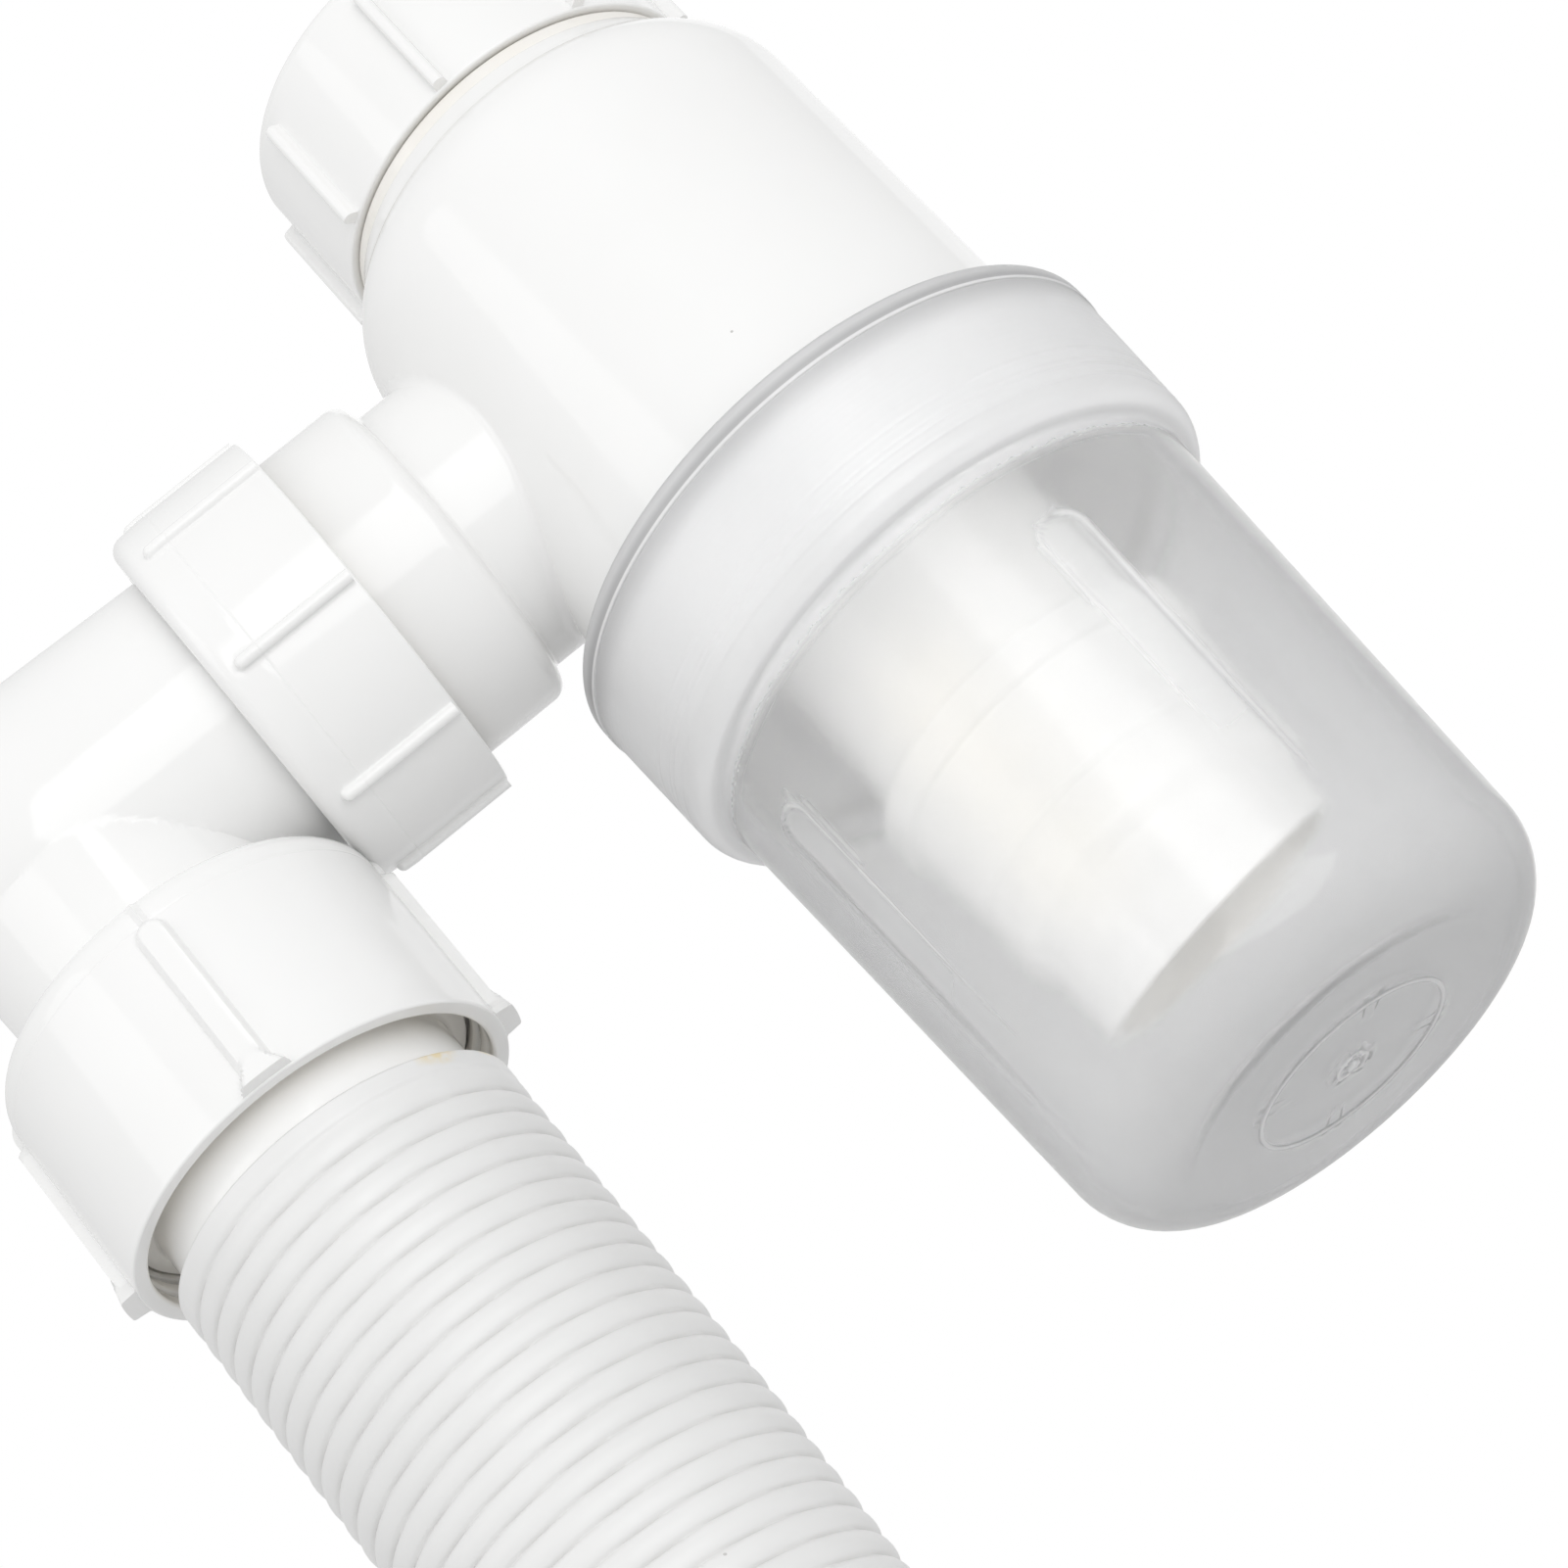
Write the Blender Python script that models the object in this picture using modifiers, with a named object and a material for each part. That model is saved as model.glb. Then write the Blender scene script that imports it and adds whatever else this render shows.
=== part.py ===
"""White plastic bottle trap: a clear screw cup, a swivel outlet elbow and a ribbed waste hose."""

import math

import bmesh
import bpy
from mathutils import Matrix, Vector

# Sizes are in metres. Z is up, and the origin is the middle of the inlet nut's top face.

# Fits
FIT = 0.0003
THREAD_PLAY = 0.0004
PIPE_PLAY = 0.0006
CUT_PAST = 0.0020

# Compression nuts: all three share a thread, a lid and the two rings under the lid
THREAD_R = 0.0226
NUT_R = 0.0251
NUT_LID = 0.0030
SLIP_RING_H = 0.0016
CONE_SEAL_H = 0.0040
SEAL_TAPER = 0.0008
RIB_W = 0.0016
RIB_ROOT = 0.0008

# Inlet, for a tailpiece of 40 mm
TAILPIECE_R = 0.0200
INLET_NUT_H = 0.0208
INLET_NUT_EDGE = 0.0018
INLET_RIBS = 8
INLET_RIB_ANGLE = -9.0
INLET_RIB_R = 0.0269
INLET_RIB_L = 0.0170
INLET_GAP = 0.0028
SOCKET_DEPTH = 0.0150

# Body
BODY_TOP_R = 0.0311
BODY_LOW_R = 0.0318
BODY_WALL = 0.0022
BODY_H = 0.0596
SHOULDER = 0.0118
SKIRT_R = 0.0340
SKIRT_WALL = 0.0026
SKIRT_START = 0.0030
SKIRT_DEPTH = 0.0178
LEDGE_H = 0.0030
LEDGE_W = 0.0030

# Outlet branch of the body
OUTLET_DROP = 0.0310
NECK_R = 0.0184
NECK_WALL = 0.0024
NECK_L = 0.0360
COLLAR_R = 0.0214
COLLAR_ROUND = 0.0042
OUTLET_NUT_X = 0.0483
OUTLET_NUT_L = 0.0193
OUTLET_NUT_EDGE = 0.0022
OUTLET_THREAD_INSET = 0.0030
OUTLET_RIBS = 8
OUTLET_RIB_ANGLE = 26.0
OUTLET_RIB_R = 0.0262
OUTLET_RIB_L = 0.0162

# Elbow, a pipe of 40 mm with a leg of 36 mm
PIPE_R = 0.0198
PIPE_ROOT_R = 0.0206
PIPE_WALL = 0.0022
PIPE_SOCKET_L = 0.0150
LEG_X = 0.0920
LEG_TOP_R = 0.0188
LEG_R = 0.0180
LEG_WALL = 0.0022
LEG_SOCKET_L = 0.0110

# Hose nut and hose adapter
HOSE_NUT_DROP = 0.0226
HOSE_NUT_H = 0.0284
HOSE_NUT_EDGE = 0.0040
HOSE_NUT_RIBS = 4
HOSE_NUT_RIB_ANGLE = 4.0
HOSE_NUT_RIB_R = 0.0264
HOSE_NUT_RIB_W = 0.0038
HOSE_NUT_RIB_TOP = 0.0042
HOSE_NUT_NUB_R = 0.0272
HOSE_NUT_NUB_W = 0.0058
HOSE_NUT_NUB_H = 0.0040
ADAPTER_R = 0.0200
ADAPTER_WALL = 0.0026
ADAPTER_THREAD_L = 0.0140
ADAPTER_L = 0.0232

# Hose and the cuff on its far end
HOSE_R = 0.0224
HOSE_RIB_DEPTH = 0.0013
HOSE_BORE_R = 0.0190
HOSE_RIBS = 120
CUFF_R = 0.0200
CUFF_WALL = 0.0022
CUFF_L = 0.0450
CUFF_CHAMFER = 0.0010
CUFF_FLANGE_R = 0.0224
CUFF_FLANGE_H = 0.0040

# The hose's route, as steps aside and down from its upper end
HOSE_ROUTE = (
    (0.0, 0.0),
    (0.0, -0.024),
    (0.0, -0.047),
    (-0.0006, -0.070),
    (-0.0014, -0.090),
    (-0.0020, -0.110),
    (-0.0023, -0.130),
    (-0.0022, -0.150),
    (-0.0019, -0.175),
    (-0.0015, -0.200),
    (-0.0011, -0.225),
    (-0.0007, -0.250),
    (-0.0004, -0.275),
    (-0.0002, -0.300),
    (0.0, -0.325),
    (0.0, -0.350),
    (0.0, -0.375),
    (0.0, -0.400),
)

# Dip tube and its end piece
DIP_R = 0.0184
DIP_WALL = 0.0016
DIP_L = 0.1080
DIP_FLANGE_H = 0.0020
DIP_SEAL_H = 0.0012
END_LAP = 0.0100
END_BEAD_R = 0.0212
END_BEAD_H = 0.0045
END_BEAD_ROUND = 0.0008
END_TOP_R = 0.0204
END_LOW_R = 0.0194
END_SLEEVE_L = 0.0240
END_GROOVE_DROP = 0.0160
END_GROOVE_W = 0.0012
END_GROOVE_DEPTH = 0.0006
END_TAIL_R = 0.0176
END_TAIL_L = 0.0140
END_SLANT = 0.0100
END_SLANT_ANGLE = -27.0

# Cup
CUP_COLLAR_R = 0.0368
CUP_COLLAR_LOW_R = 0.0363
CUP_LIP_R = 0.0370
CUP_LIP_H = 0.0030
CUP_RIM_ROUND = 0.0024
CUP_COLLAR_H = 0.0194
CUP_TOP_R = 0.0333
CUP_LOW_R = 0.0312
CUP_H = 0.0900
CUP_WALL = 0.0019
CUP_CORNER = 0.0098
CUP_SEAL_H = 0.0016
CUP_RING_R = 0.0126
CUP_RING_W = 0.0008
CUP_RING_H = 0.0005
FLUTE_ANGLES = (-62.5, 20.8, 117.5, 200.8)
FLUTE_W = 0.0056
FLUTE_TOP = 0.0318
FLUTE_L = 0.0465
FLUTE_DEPTH = 0.0007

# Facets
ROUND_STEPS = 36
RING_STEPS = 32
CORNER_STEPS = 5
EDGE_STEPS = 2
BALL_STEPS = 8
FLUTE_STEPS = 12
ROUTE_STEPS = 6
TUBE_BEVEL = 2

# What follows from the sizes: radii
NUT_BORE_R = THREAD_R + THREAD_PLAY
SLIP_RING_R = NUT_BORE_R - FIT
CUP_BORE_R = SKIRT_R + THREAD_PLAY
TUBE_HOLE_R = DIP_R + FIT

# What follows from the sizes: levels along Z, and distances from the body's axis along the outlet
STACK_H = NUT_LID + SLIP_RING_H + CONE_SEAL_H + 3 * FIT
MOUTH_Z = -STACK_H
LEDGE_Z = MOUTH_Z - SOCKET_DEPTH
SHOULDER_Z = -INLET_NUT_H - INLET_GAP
RIM_Z = SHOULDER_Z - BODY_H
SKIRT_Z = RIM_Z - SKIRT_DEPTH
CUP_LEDGE_Z = SKIRT_Z - CUP_SEAL_H - 2 * FIT
FLOOR_Z = RIM_Z - CUP_H
FLANGE_TOP_Z = LEDGE_Z + DIP_SEAL_H + 2 * FIT + DIP_FLANGE_H
DIP_END_Z = FLANGE_TOP_Z - DIP_L
OUTLET_Z = SHOULDER_Z - OUTLET_DROP
OUTLET_NUT_END = OUTLET_NUT_X + OUTLET_NUT_L
OUTLET_MOUTH = OUTLET_NUT_END - STACK_H
PIPE_END = OUTLET_MOUTH - PIPE_SOCKET_L
HOSE_NUT_Z = OUTLET_Z - HOSE_NUT_DROP
ADAPTER_Z = HOSE_NUT_Z - STACK_H
LEG_END_Z = ADAPTER_Z - LEG_SOCKET_L
HOSE_Z = ADAPTER_Z - ADAPTER_L - FIT
CUFF_Z = HOSE_Z + HOSE_ROUTE[-1][1] - FIT

# Places of the three axes: local Z of the outlet's pieces points away from the body
OUTLET_PLACE = (0.0, 0.0, OUTLET_Z)
OUTLET_TURN = (0.0, math.radians(-90.0), 0.0)
LEG_PLACE = (-LEG_X, 0.0, 0.0)
TINY = 0.000001


def plastic(name, colour, roughness, clear=0.0):
    """A Principled material, see-through where clear is over 0."""
    material = bpy.data.materials.new(name)
    material.use_nodes = True
    shader = material.node_tree.nodes["Principled BSDF"]
    shader.inputs["Base Color"].default_value = (*colour, 1.0)
    shader.inputs["Roughness"].default_value = roughness
    shader.inputs["Metallic"].default_value = 0.0
    shader.inputs["Transmission Weight"].default_value = clear
    return material


def gloss_white(name):
    return plastic(name, (0.90, 0.90, 0.89), 0.22)


def soft_white(name):
    return plastic(name, (0.88, 0.88, 0.87), 0.38)


def pale_rubber(name):
    return plastic(name, (0.74, 0.74, 0.72), 0.75)


def arc(centre_r, centre_z, radius, start, end, steps=CORNER_STEPS):
    """Points of an arc in the profile plane, from one angle in degrees to another."""
    angles = [math.radians(start + (end - start) * i / steps) for i in range(steps + 1)]
    return [(centre_r + radius * math.cos(a), centre_z + radius * math.sin(a)) for a in angles]


def meeting(centre_r, radius, r):
    """The angle in degrees, at most 90, where an arc about this centre meets a wall of radius r."""
    return math.degrees(math.acos(min(1.0, max(0.0, (r - centre_r) / radius))))


def shoulder(centre_r, centre_z, radius, wall_r):
    """From a wall of radius wall_r, over a flat if there is room for one, and round an arc to its side."""
    points = arc(centre_r, centre_z, radius, meeting(centre_r, radius, wall_r), 0.0)
    return [(wall_r, points[0][1]), *points]


def ring(inner_r, outer_r, top, height):
    """The closed profile of a plain ring."""
    return [(outer_r, top), (outer_r, top - height), (inner_r, top - height), (inner_r, top)]


def collection_named(name):
    made = bpy.data.collections.new(name)
    bpy.context.scene.collection.children.link(made)
    return made


class Maker:
    """Puts objects into the collection of the parts, and helpers into the one of the cutters."""

    def __init__(self):
        self.parts = collection_named("bottle_trap")
        self.cutters = collection_named("bottle_trap_cutters")

    def place(self, name, mesh, location, rotation, material):
        made = bpy.data.objects.new(name, mesh)
        made.location = location
        made.rotation_euler = rotation
        if material:
            mesh.materials.append(material)
            self.parts.objects.link(made)
        else:
            self.cutters.objects.link(made)
            made.hide_render = True
            made.display_type = "WIRE"
        return made

    def turned(self, name, profile, material=None, location=(0, 0, 0), rotation=(0, 0, 0), steps=ROUND_STEPS):
        """A profile of (radius, height) points, turned about local Z. One with no material is a helper."""
        mesh = bpy.data.meshes.new(name)
        profile = profile[:1] + [b for a, b in zip(profile, profile[1:]) if math.dist(a, b) > TINY]
        edges = [(i, i + 1) for i in range(len(profile) - 1)]
        if profile[0][0] > TINY:
            edges.append((len(profile) - 1, 0))
        mesh.from_pydata([(r if r > TINY else 0.0, 0.0, z) for r, z in profile], edges, [])
        made = self.place(name, mesh, location, rotation, material)
        screw = made.modifiers.new("turn", "SCREW")
        screw.steps = steps
        screw.render_steps = steps
        screw.use_merge_vertices = True
        screw.merge_threshold = TINY
        screw.use_smooth_shade = True
        return made

    def from_bmesh(self, name, shape, location=(0, 0, 0), rotation=(0, 0, 0), material=None):
        mesh = bpy.data.meshes.new(name)
        shape.to_mesh(mesh)
        shape.free()
        return self.place(name, mesh, location, rotation, material)


def combine(made, other, operation):
    modifier = made.modifiers.new(f"{operation.lower()} {other.name}", "BOOLEAN")
    modifier.operation = operation
    modifier.solver = "EXACT"
    modifier.object = other


def around(angle):
    """A turn about Z that takes +X to this angle in degrees, measured from -Y towards +X."""
    return Matrix.Rotation(math.radians(angle - 90.0), 4, "Z")


def grip_ribs(count, first, inner_r, outer_r, width, top, bottom, wedge=False):
    """Upright blocks evenly round local Z. A wedge's upper outer edge is drawn in to the inner radius."""
    shape = bmesh.new()
    size = Matrix.Diagonal((outer_r - inner_r, width, top - bottom, 1.0))
    middle = Matrix.Translation(((inner_r + outer_r) / 2, 0.0, (top + bottom) / 2))
    for i in range(count):
        turn = around(first + 360.0 * i / count)
        made = bmesh.ops.create_cube(shape, size=1.0, matrix=middle @ size)
        for vertex in made["verts"]:
            if wedge and vertex.co.z > (top + bottom) / 2:
                vertex.co.x = min(vertex.co.x, inner_r + FIT)
        bmesh.ops.transform(shape, matrix=turn, verts=made["verts"])
    return shape


def nut_profile(outer_r, hole_r, top, height, edge):
    """A nut with its lid on top, a rounded lid edge and its open end down."""
    return [
        (hole_r, top),
        *arc(outer_r - edge, top - edge, edge, 90.0, 0.0),
        (outer_r, top - height),
        (NUT_BORE_R, top - height),
        (NUT_BORE_R, top - NUT_LID),
        (hole_r, top - NUT_LID),
    ]


def nut_rings(maker, prefix, pipe_r, top, location, rotation):
    """The slip ring and the cone seal under the lid of the nut whose top is here."""
    inner_r = pipe_r + FIT
    ring_top = top - NUT_LID - FIT
    seal_top = ring_top - SLIP_RING_H - FIT
    seal_bottom = seal_top - CONE_SEAL_H
    maker.turned(
        f"{prefix}_slip_ring",
        ring(inner_r, SLIP_RING_R, ring_top, SLIP_RING_H),
        soft_white(f"{prefix} slip ring"),
        location,
        rotation,
        RING_STEPS,
    )
    maker.turned(
        f"{prefix}_cone_seal",
        [
            (THREAD_R, seal_top),
            (THREAD_R - SEAL_TAPER, seal_bottom),
            (inner_r, seal_bottom),
            (inner_r, seal_top),
        ],
        pale_rubber(f"{prefix} cone seal"),
        location,
        rotation,
        RING_STEPS,
    )


def make_body(maker):
    skirt_top = RIM_Z - SKIRT_START
    shoulder_r = BODY_TOP_R - SHOULDER
    body = maker.turned(
        "trap_body",
        [
            (0.0, MOUTH_Z),
            (THREAD_R, MOUTH_Z),
            *shoulder(shoulder_r, SHOULDER_Z - SHOULDER, SHOULDER, THREAD_R),
            (BODY_LOW_R, skirt_top + SKIRT_R - BODY_LOW_R),
            (SKIRT_R, skirt_top),
            (SKIRT_R, SKIRT_Z),
            (0.0, SKIRT_Z),
        ],
        gloss_white("trap body"),
    )
    thread_start = OUTLET_NUT_X + OUTLET_THREAD_INSET
    round_r = COLLAR_R - COLLAR_ROUND
    neck_angle = -meeting(round_r, COLLAR_ROUND, NECK_R)
    branch = maker.turned(
        "outlet_branch",
        [
            (0.0, OUTLET_MOUTH),
            (THREAD_R, OUTLET_MOUTH),
            (THREAD_R, thread_start),
            (COLLAR_R, thread_start),
            *arc(round_r, NECK_L + COLLAR_ROUND, COLLAR_ROUND, 0.0, neck_angle),
            (NECK_R, NECK_L),
            (NECK_R, 0.0),
            (0.0, 0.0),
        ],
        None,
        OUTLET_PLACE,
        OUTLET_TURN,
    )
    ceiling = SHOULDER_Z - BODY_WALL
    inner_round = SHOULDER - BODY_WALL
    boss_r = TUBE_HOLE_R + LEDGE_W
    skirt_bore_r = SKIRT_R - SKIRT_WALL
    cavity = maker.turned(
        "body_cavity",
        [
            (0.0, LEDGE_Z - LEDGE_H),
            (boss_r, LEDGE_Z - LEDGE_H),
            *shoulder(shoulder_r, ceiling - inner_round, inner_round, boss_r),
            (BODY_LOW_R - BODY_WALL, skirt_top),
            (skirt_bore_r, skirt_top - SKIRT_WALL),
            (skirt_bore_r, SKIRT_Z - CUT_PAST),
            (0.0, SKIRT_Z - CUT_PAST),
        ],
    )
    socket_r = TAILPIECE_R + FIT
    socket = maker.turned(
        "inlet_socket",
        [
            (0.0, MOUTH_Z + CUT_PAST),
            (socket_r, MOUTH_Z + CUT_PAST),
            (socket_r, LEDGE_Z),
            (TUBE_HOLE_R, LEDGE_Z),
            (TUBE_HOLE_R, LEDGE_Z - LEDGE_H - CUT_PAST),
            (0.0, LEDGE_Z - LEDGE_H - CUT_PAST),
        ],
    )
    pipe_hole_r = PIPE_R + FIT
    neck_bore_r = NECK_R - NECK_WALL
    bore = maker.turned(
        "outlet_bore",
        [
            (0.0, OUTLET_MOUTH + CUT_PAST),
            (pipe_hole_r, OUTLET_MOUTH + CUT_PAST),
            (pipe_hole_r, PIPE_END - FIT),
            (neck_bore_r, PIPE_END - FIT),
            (neck_bore_r, DIP_R),
            (0.0, DIP_R),
        ],
        None,
        OUTLET_PLACE,
        OUTLET_TURN,
    )
    combine(body, branch, "UNION")
    combine(body, cavity, "DIFFERENCE")
    combine(body, socket, "DIFFERENCE")
    combine(body, bore, "DIFFERENCE")


def make_inlet_nut(maker):
    nut = maker.turned(
        "inlet_nut",
        nut_profile(NUT_R, TAILPIECE_R + PIPE_PLAY, 0.0, INLET_NUT_H, INLET_NUT_EDGE),
        gloss_white("inlet nut"),
    )
    foot = FIT - INLET_NUT_H
    ribs = grip_ribs(
        INLET_RIBS,
        INLET_RIB_ANGLE,
        NUT_R - RIB_ROOT,
        INLET_RIB_R,
        RIB_W,
        foot + INLET_RIB_L,
        foot,
    )
    combine(nut, maker.from_bmesh("inlet_nut_ribs", ribs), "UNION")
    nut_rings(maker, "inlet", TAILPIECE_R, 0.0, (0, 0, 0), (0, 0, 0))


def make_dip_tube(maker):
    flange_r = TAILPIECE_R
    bore_r = DIP_R - DIP_WALL
    flange_z = FLANGE_TOP_Z - DIP_FLANGE_H
    maker.turned(
        "dip_tube",
        [
            (flange_r, FLANGE_TOP_Z),
            (flange_r, flange_z),
            (DIP_R, flange_z),
            (DIP_R, DIP_END_Z),
            (bore_r, DIP_END_Z),
            (bore_r, FLANGE_TOP_Z),
        ],
        soft_white("dip tube"),
    )
    maker.turned(
        "dip_tube_seal",
        ring(TUBE_HOLE_R, flange_r, flange_z - FIT, DIP_SEAL_H),
        pale_rubber("dip tube seal"),
        steps=RING_STEPS,
    )
    top = DIP_END_Z + END_LAP
    stop = DIP_END_Z - FIT
    groove = top - END_GROOVE_DROP
    sleeve_end = top - END_SLEEVE_L
    tail_end = sleeve_end - END_TAIL_L
    groove_r = END_LOW_R - END_GROOVE_DEPTH
    end = maker.turned(
        "dip_tube_end",
        [
            (TUBE_HOLE_R, top),
            *arc(END_BEAD_R - END_BEAD_ROUND, top - END_BEAD_ROUND, END_BEAD_ROUND, 90.0, 0.0, EDGE_STEPS),
            (END_BEAD_R, top - END_BEAD_H),
            (END_TOP_R, top - END_BEAD_H),
            (END_LOW_R, groove),
            (groove_r, groove),
            (groove_r, groove - END_GROOVE_W),
            (END_LOW_R, groove - END_GROOVE_W),
            (END_LOW_R, sleeve_end),
            (END_TAIL_R, sleeve_end),
            (END_TAIL_R, tail_end),
            (END_TAIL_R - DIP_WALL, tail_end),
            (END_TAIL_R - DIP_WALL, stop),
            (TUBE_HOLE_R, stop),
        ],
        soft_white("dip tube end"),
    )
    # The lower end is cut at a slant, and its longest side is at the slant's angle.
    reach = 2 * (END_BEAD_R + CUT_PAST)
    block = Matrix.Translation((0.0, 0.0, -reach / 2)) @ Matrix.Diagonal((2 * reach, 2 * reach, reach, 1.0))
    tilt = Matrix.Rotation(math.atan2(END_SLANT, 2 * END_TAIL_R), 4, "Y")
    middle = Matrix.Translation((0.0, 0.0, tail_end + END_SLANT / 2))
    cut = bmesh.new()
    bmesh.ops.create_cube(cut, size=1.0, matrix=middle @ around(END_SLANT_ANGLE) @ tilt @ block)
    combine(end, maker.from_bmesh("tail_slant", cut), "DIFFERENCE")


def make_outlet_nut(maker):
    nut = maker.turned(
        "outlet_nut",
        nut_profile(NUT_R, PIPE_R + PIPE_PLAY, OUTLET_NUT_END, OUTLET_NUT_L, OUTLET_NUT_EDGE),
        gloss_white("outlet nut"),
        OUTLET_PLACE,
        OUTLET_TURN,
    )
    foot = OUTLET_NUT_X + FIT
    ribs = grip_ribs(
        OUTLET_RIBS,
        OUTLET_RIB_ANGLE,
        NUT_R - RIB_ROOT,
        OUTLET_RIB_R,
        RIB_W,
        foot + OUTLET_RIB_L,
        foot,
    )
    combine(nut, maker.from_bmesh("outlet_nut_ribs", ribs, OUTLET_PLACE, OUTLET_TURN), "UNION")
    nut_rings(maker, "outlet", PIPE_R, OUTLET_NUT_END, OUTLET_PLACE, OUTLET_TURN)


def make_elbow(maker):
    elbow = maker.turned(
        "elbow",
        [
            *arc(0.0, LEG_X, PIPE_ROOT_R, 90.0, 0.0, BALL_STEPS),
            (PIPE_R, OUTLET_NUT_END),
            (PIPE_R, PIPE_END),
            (0.0, PIPE_END),
        ],
        gloss_white("elbow"),
        OUTLET_PLACE,
        OUTLET_TURN,
    )
    leg = maker.turned(
        "elbow_leg",
        [
            (0.0, OUTLET_Z),
            (LEG_TOP_R, OUTLET_Z),
            (LEG_R, HOSE_NUT_Z),
            (LEG_R, LEG_END_Z),
            (0.0, LEG_END_Z),
        ],
        None,
        LEG_PLACE,
    )
    bore_r = PIPE_R - PIPE_WALL
    pipe_bore = maker.turned(
        "elbow_pipe_bore",
        [
            *arc(0.0, LEG_X, bore_r, 90.0, 0.0, BALL_STEPS),
            (bore_r, PIPE_END - CUT_PAST),
            (0.0, PIPE_END - CUT_PAST),
        ],
        None,
        OUTLET_PLACE,
        OUTLET_TURN,
    )
    leg_bore = maker.turned(
        "elbow_leg_bore",
        [
            (0.0, OUTLET_Z),
            (LEG_R - LEG_WALL, OUTLET_Z),
            (LEG_R - LEG_WALL, LEG_END_Z - CUT_PAST),
            (0.0, LEG_END_Z - CUT_PAST),
        ],
        None,
        LEG_PLACE,
    )
    combine(elbow, leg, "UNION")
    combine(elbow, pipe_bore, "DIFFERENCE")
    combine(elbow, leg_bore, "DIFFERENCE")


def make_hose_nut(maker):
    nut = maker.turned(
        "hose_nut",
        nut_profile(NUT_R, LEG_R + PIPE_PLAY, HOSE_NUT_Z, HOSE_NUT_H, HOSE_NUT_EDGE),
        gloss_white("hose nut"),
        LEG_PLACE,
    )
    inner_r = NUT_R - RIB_ROOT
    foot = HOSE_NUT_Z - HOSE_NUT_H + FIT
    rib_top = HOSE_NUT_Z - HOSE_NUT_RIB_TOP
    ribs = grip_ribs(
        HOSE_NUT_RIBS,
        HOSE_NUT_RIB_ANGLE,
        inner_r,
        HOSE_NUT_RIB_R,
        HOSE_NUT_RIB_W,
        rib_top,
        foot,
    )
    nubs = grip_ribs(
        HOSE_NUT_RIBS,
        HOSE_NUT_RIB_ANGLE,
        inner_r,
        HOSE_NUT_NUB_R,
        HOSE_NUT_NUB_W,
        foot + HOSE_NUT_NUB_H,
        foot,
        wedge=True,
    )
    combine(nut, maker.from_bmesh("hose_nut_ribs", ribs, LEG_PLACE), "UNION")
    combine(nut, maker.from_bmesh("hose_nut_nubs", nubs, LEG_PLACE), "UNION")
    nut_rings(maker, "hose", LEG_R, HOSE_NUT_Z, LEG_PLACE, (0, 0, 0))


def make_adapter(maker):
    bottom = ADAPTER_Z - ADAPTER_L
    thread_end = ADAPTER_Z - ADAPTER_THREAD_L
    maker.turned(
        "hose_adapter",
        [
            (THREAD_R, ADAPTER_Z),
            (THREAD_R, thread_end),
            (ADAPTER_R, thread_end),
            (ADAPTER_R, bottom),
            (ADAPTER_R - ADAPTER_WALL, bottom),
            (ADAPTER_R - ADAPTER_WALL, LEG_END_Z - FIT),
            (LEG_R + FIT, LEG_END_Z - FIT),
            (LEG_R + FIT, ADAPTER_Z),
        ],
        gloss_white("hose adapter"),
        LEG_PLACE,
    )


def smooth_route(points, steps):
    """Points along a smooth curve through the route, evenly spaced in each span."""
    ends = [2 * points[0] - points[1], *points, 2 * points[-1] - points[-2]]
    made = []
    for i in range(len(points) - 1):
        before, start, end, after = ends[i : i + 4]
        for step in range(steps):
            t = step / steps
            bend = (2 * before - 5 * start + 4 * end - after) * t * t
            twist = (3 * (start - end) + after - before) * t * t * t
            made.append(start + (t * (end - before) + bend + twist) / 2)
    return [*made, points[-1]]


def resample(points, shares):
    """Points at these shares of a path's length."""
    lengths = [0.0]
    for a, b in zip(points, points[1:]):
        lengths.append(lengths[-1] + (b - a).length)
    made = []
    span = 0
    for share in shares:
        at = share * lengths[-1]
        while span < len(points) - 2 and lengths[span + 1] < at:
            span += 1
        t = (at - lengths[span]) / (lengths[span + 1] - lengths[span])
        made.append(points[span].lerp(points[span + 1], t))
    return made


def tube_mesh(name, points, radii):
    """A closed eight-sided tube through these points, as a mesh."""
    curve = bpy.data.curves.new(name, "CURVE")
    curve.dimensions = "3D"
    curve.bevel_depth = 1.0
    curve.bevel_resolution = TUBE_BEVEL
    curve.use_fill_caps = True
    spline = curve.splines.new("POLY")
    spline.points.add(len(points) - 1)
    for point, place, radius in zip(spline.points, points, radii):
        point.co = (*place, 1.0)
        point.radius = radius
    guide = bpy.data.objects.new(name, curve)
    bpy.context.scene.collection.objects.link(guide)
    graph = bpy.context.evaluated_depsgraph_get()
    mesh = bpy.data.meshes.new_from_object(guide.evaluated_get(graph))
    bpy.data.objects.remove(guide)
    shape = bmesh.new()
    shape.from_mesh(mesh)
    bmesh.ops.remove_doubles(shape, verts=shape.verts, dist=TINY)
    bmesh.ops.recalc_face_normals(shape, faces=shape.faces)
    bpy.data.meshes.remove(mesh)
    return shape


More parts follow.
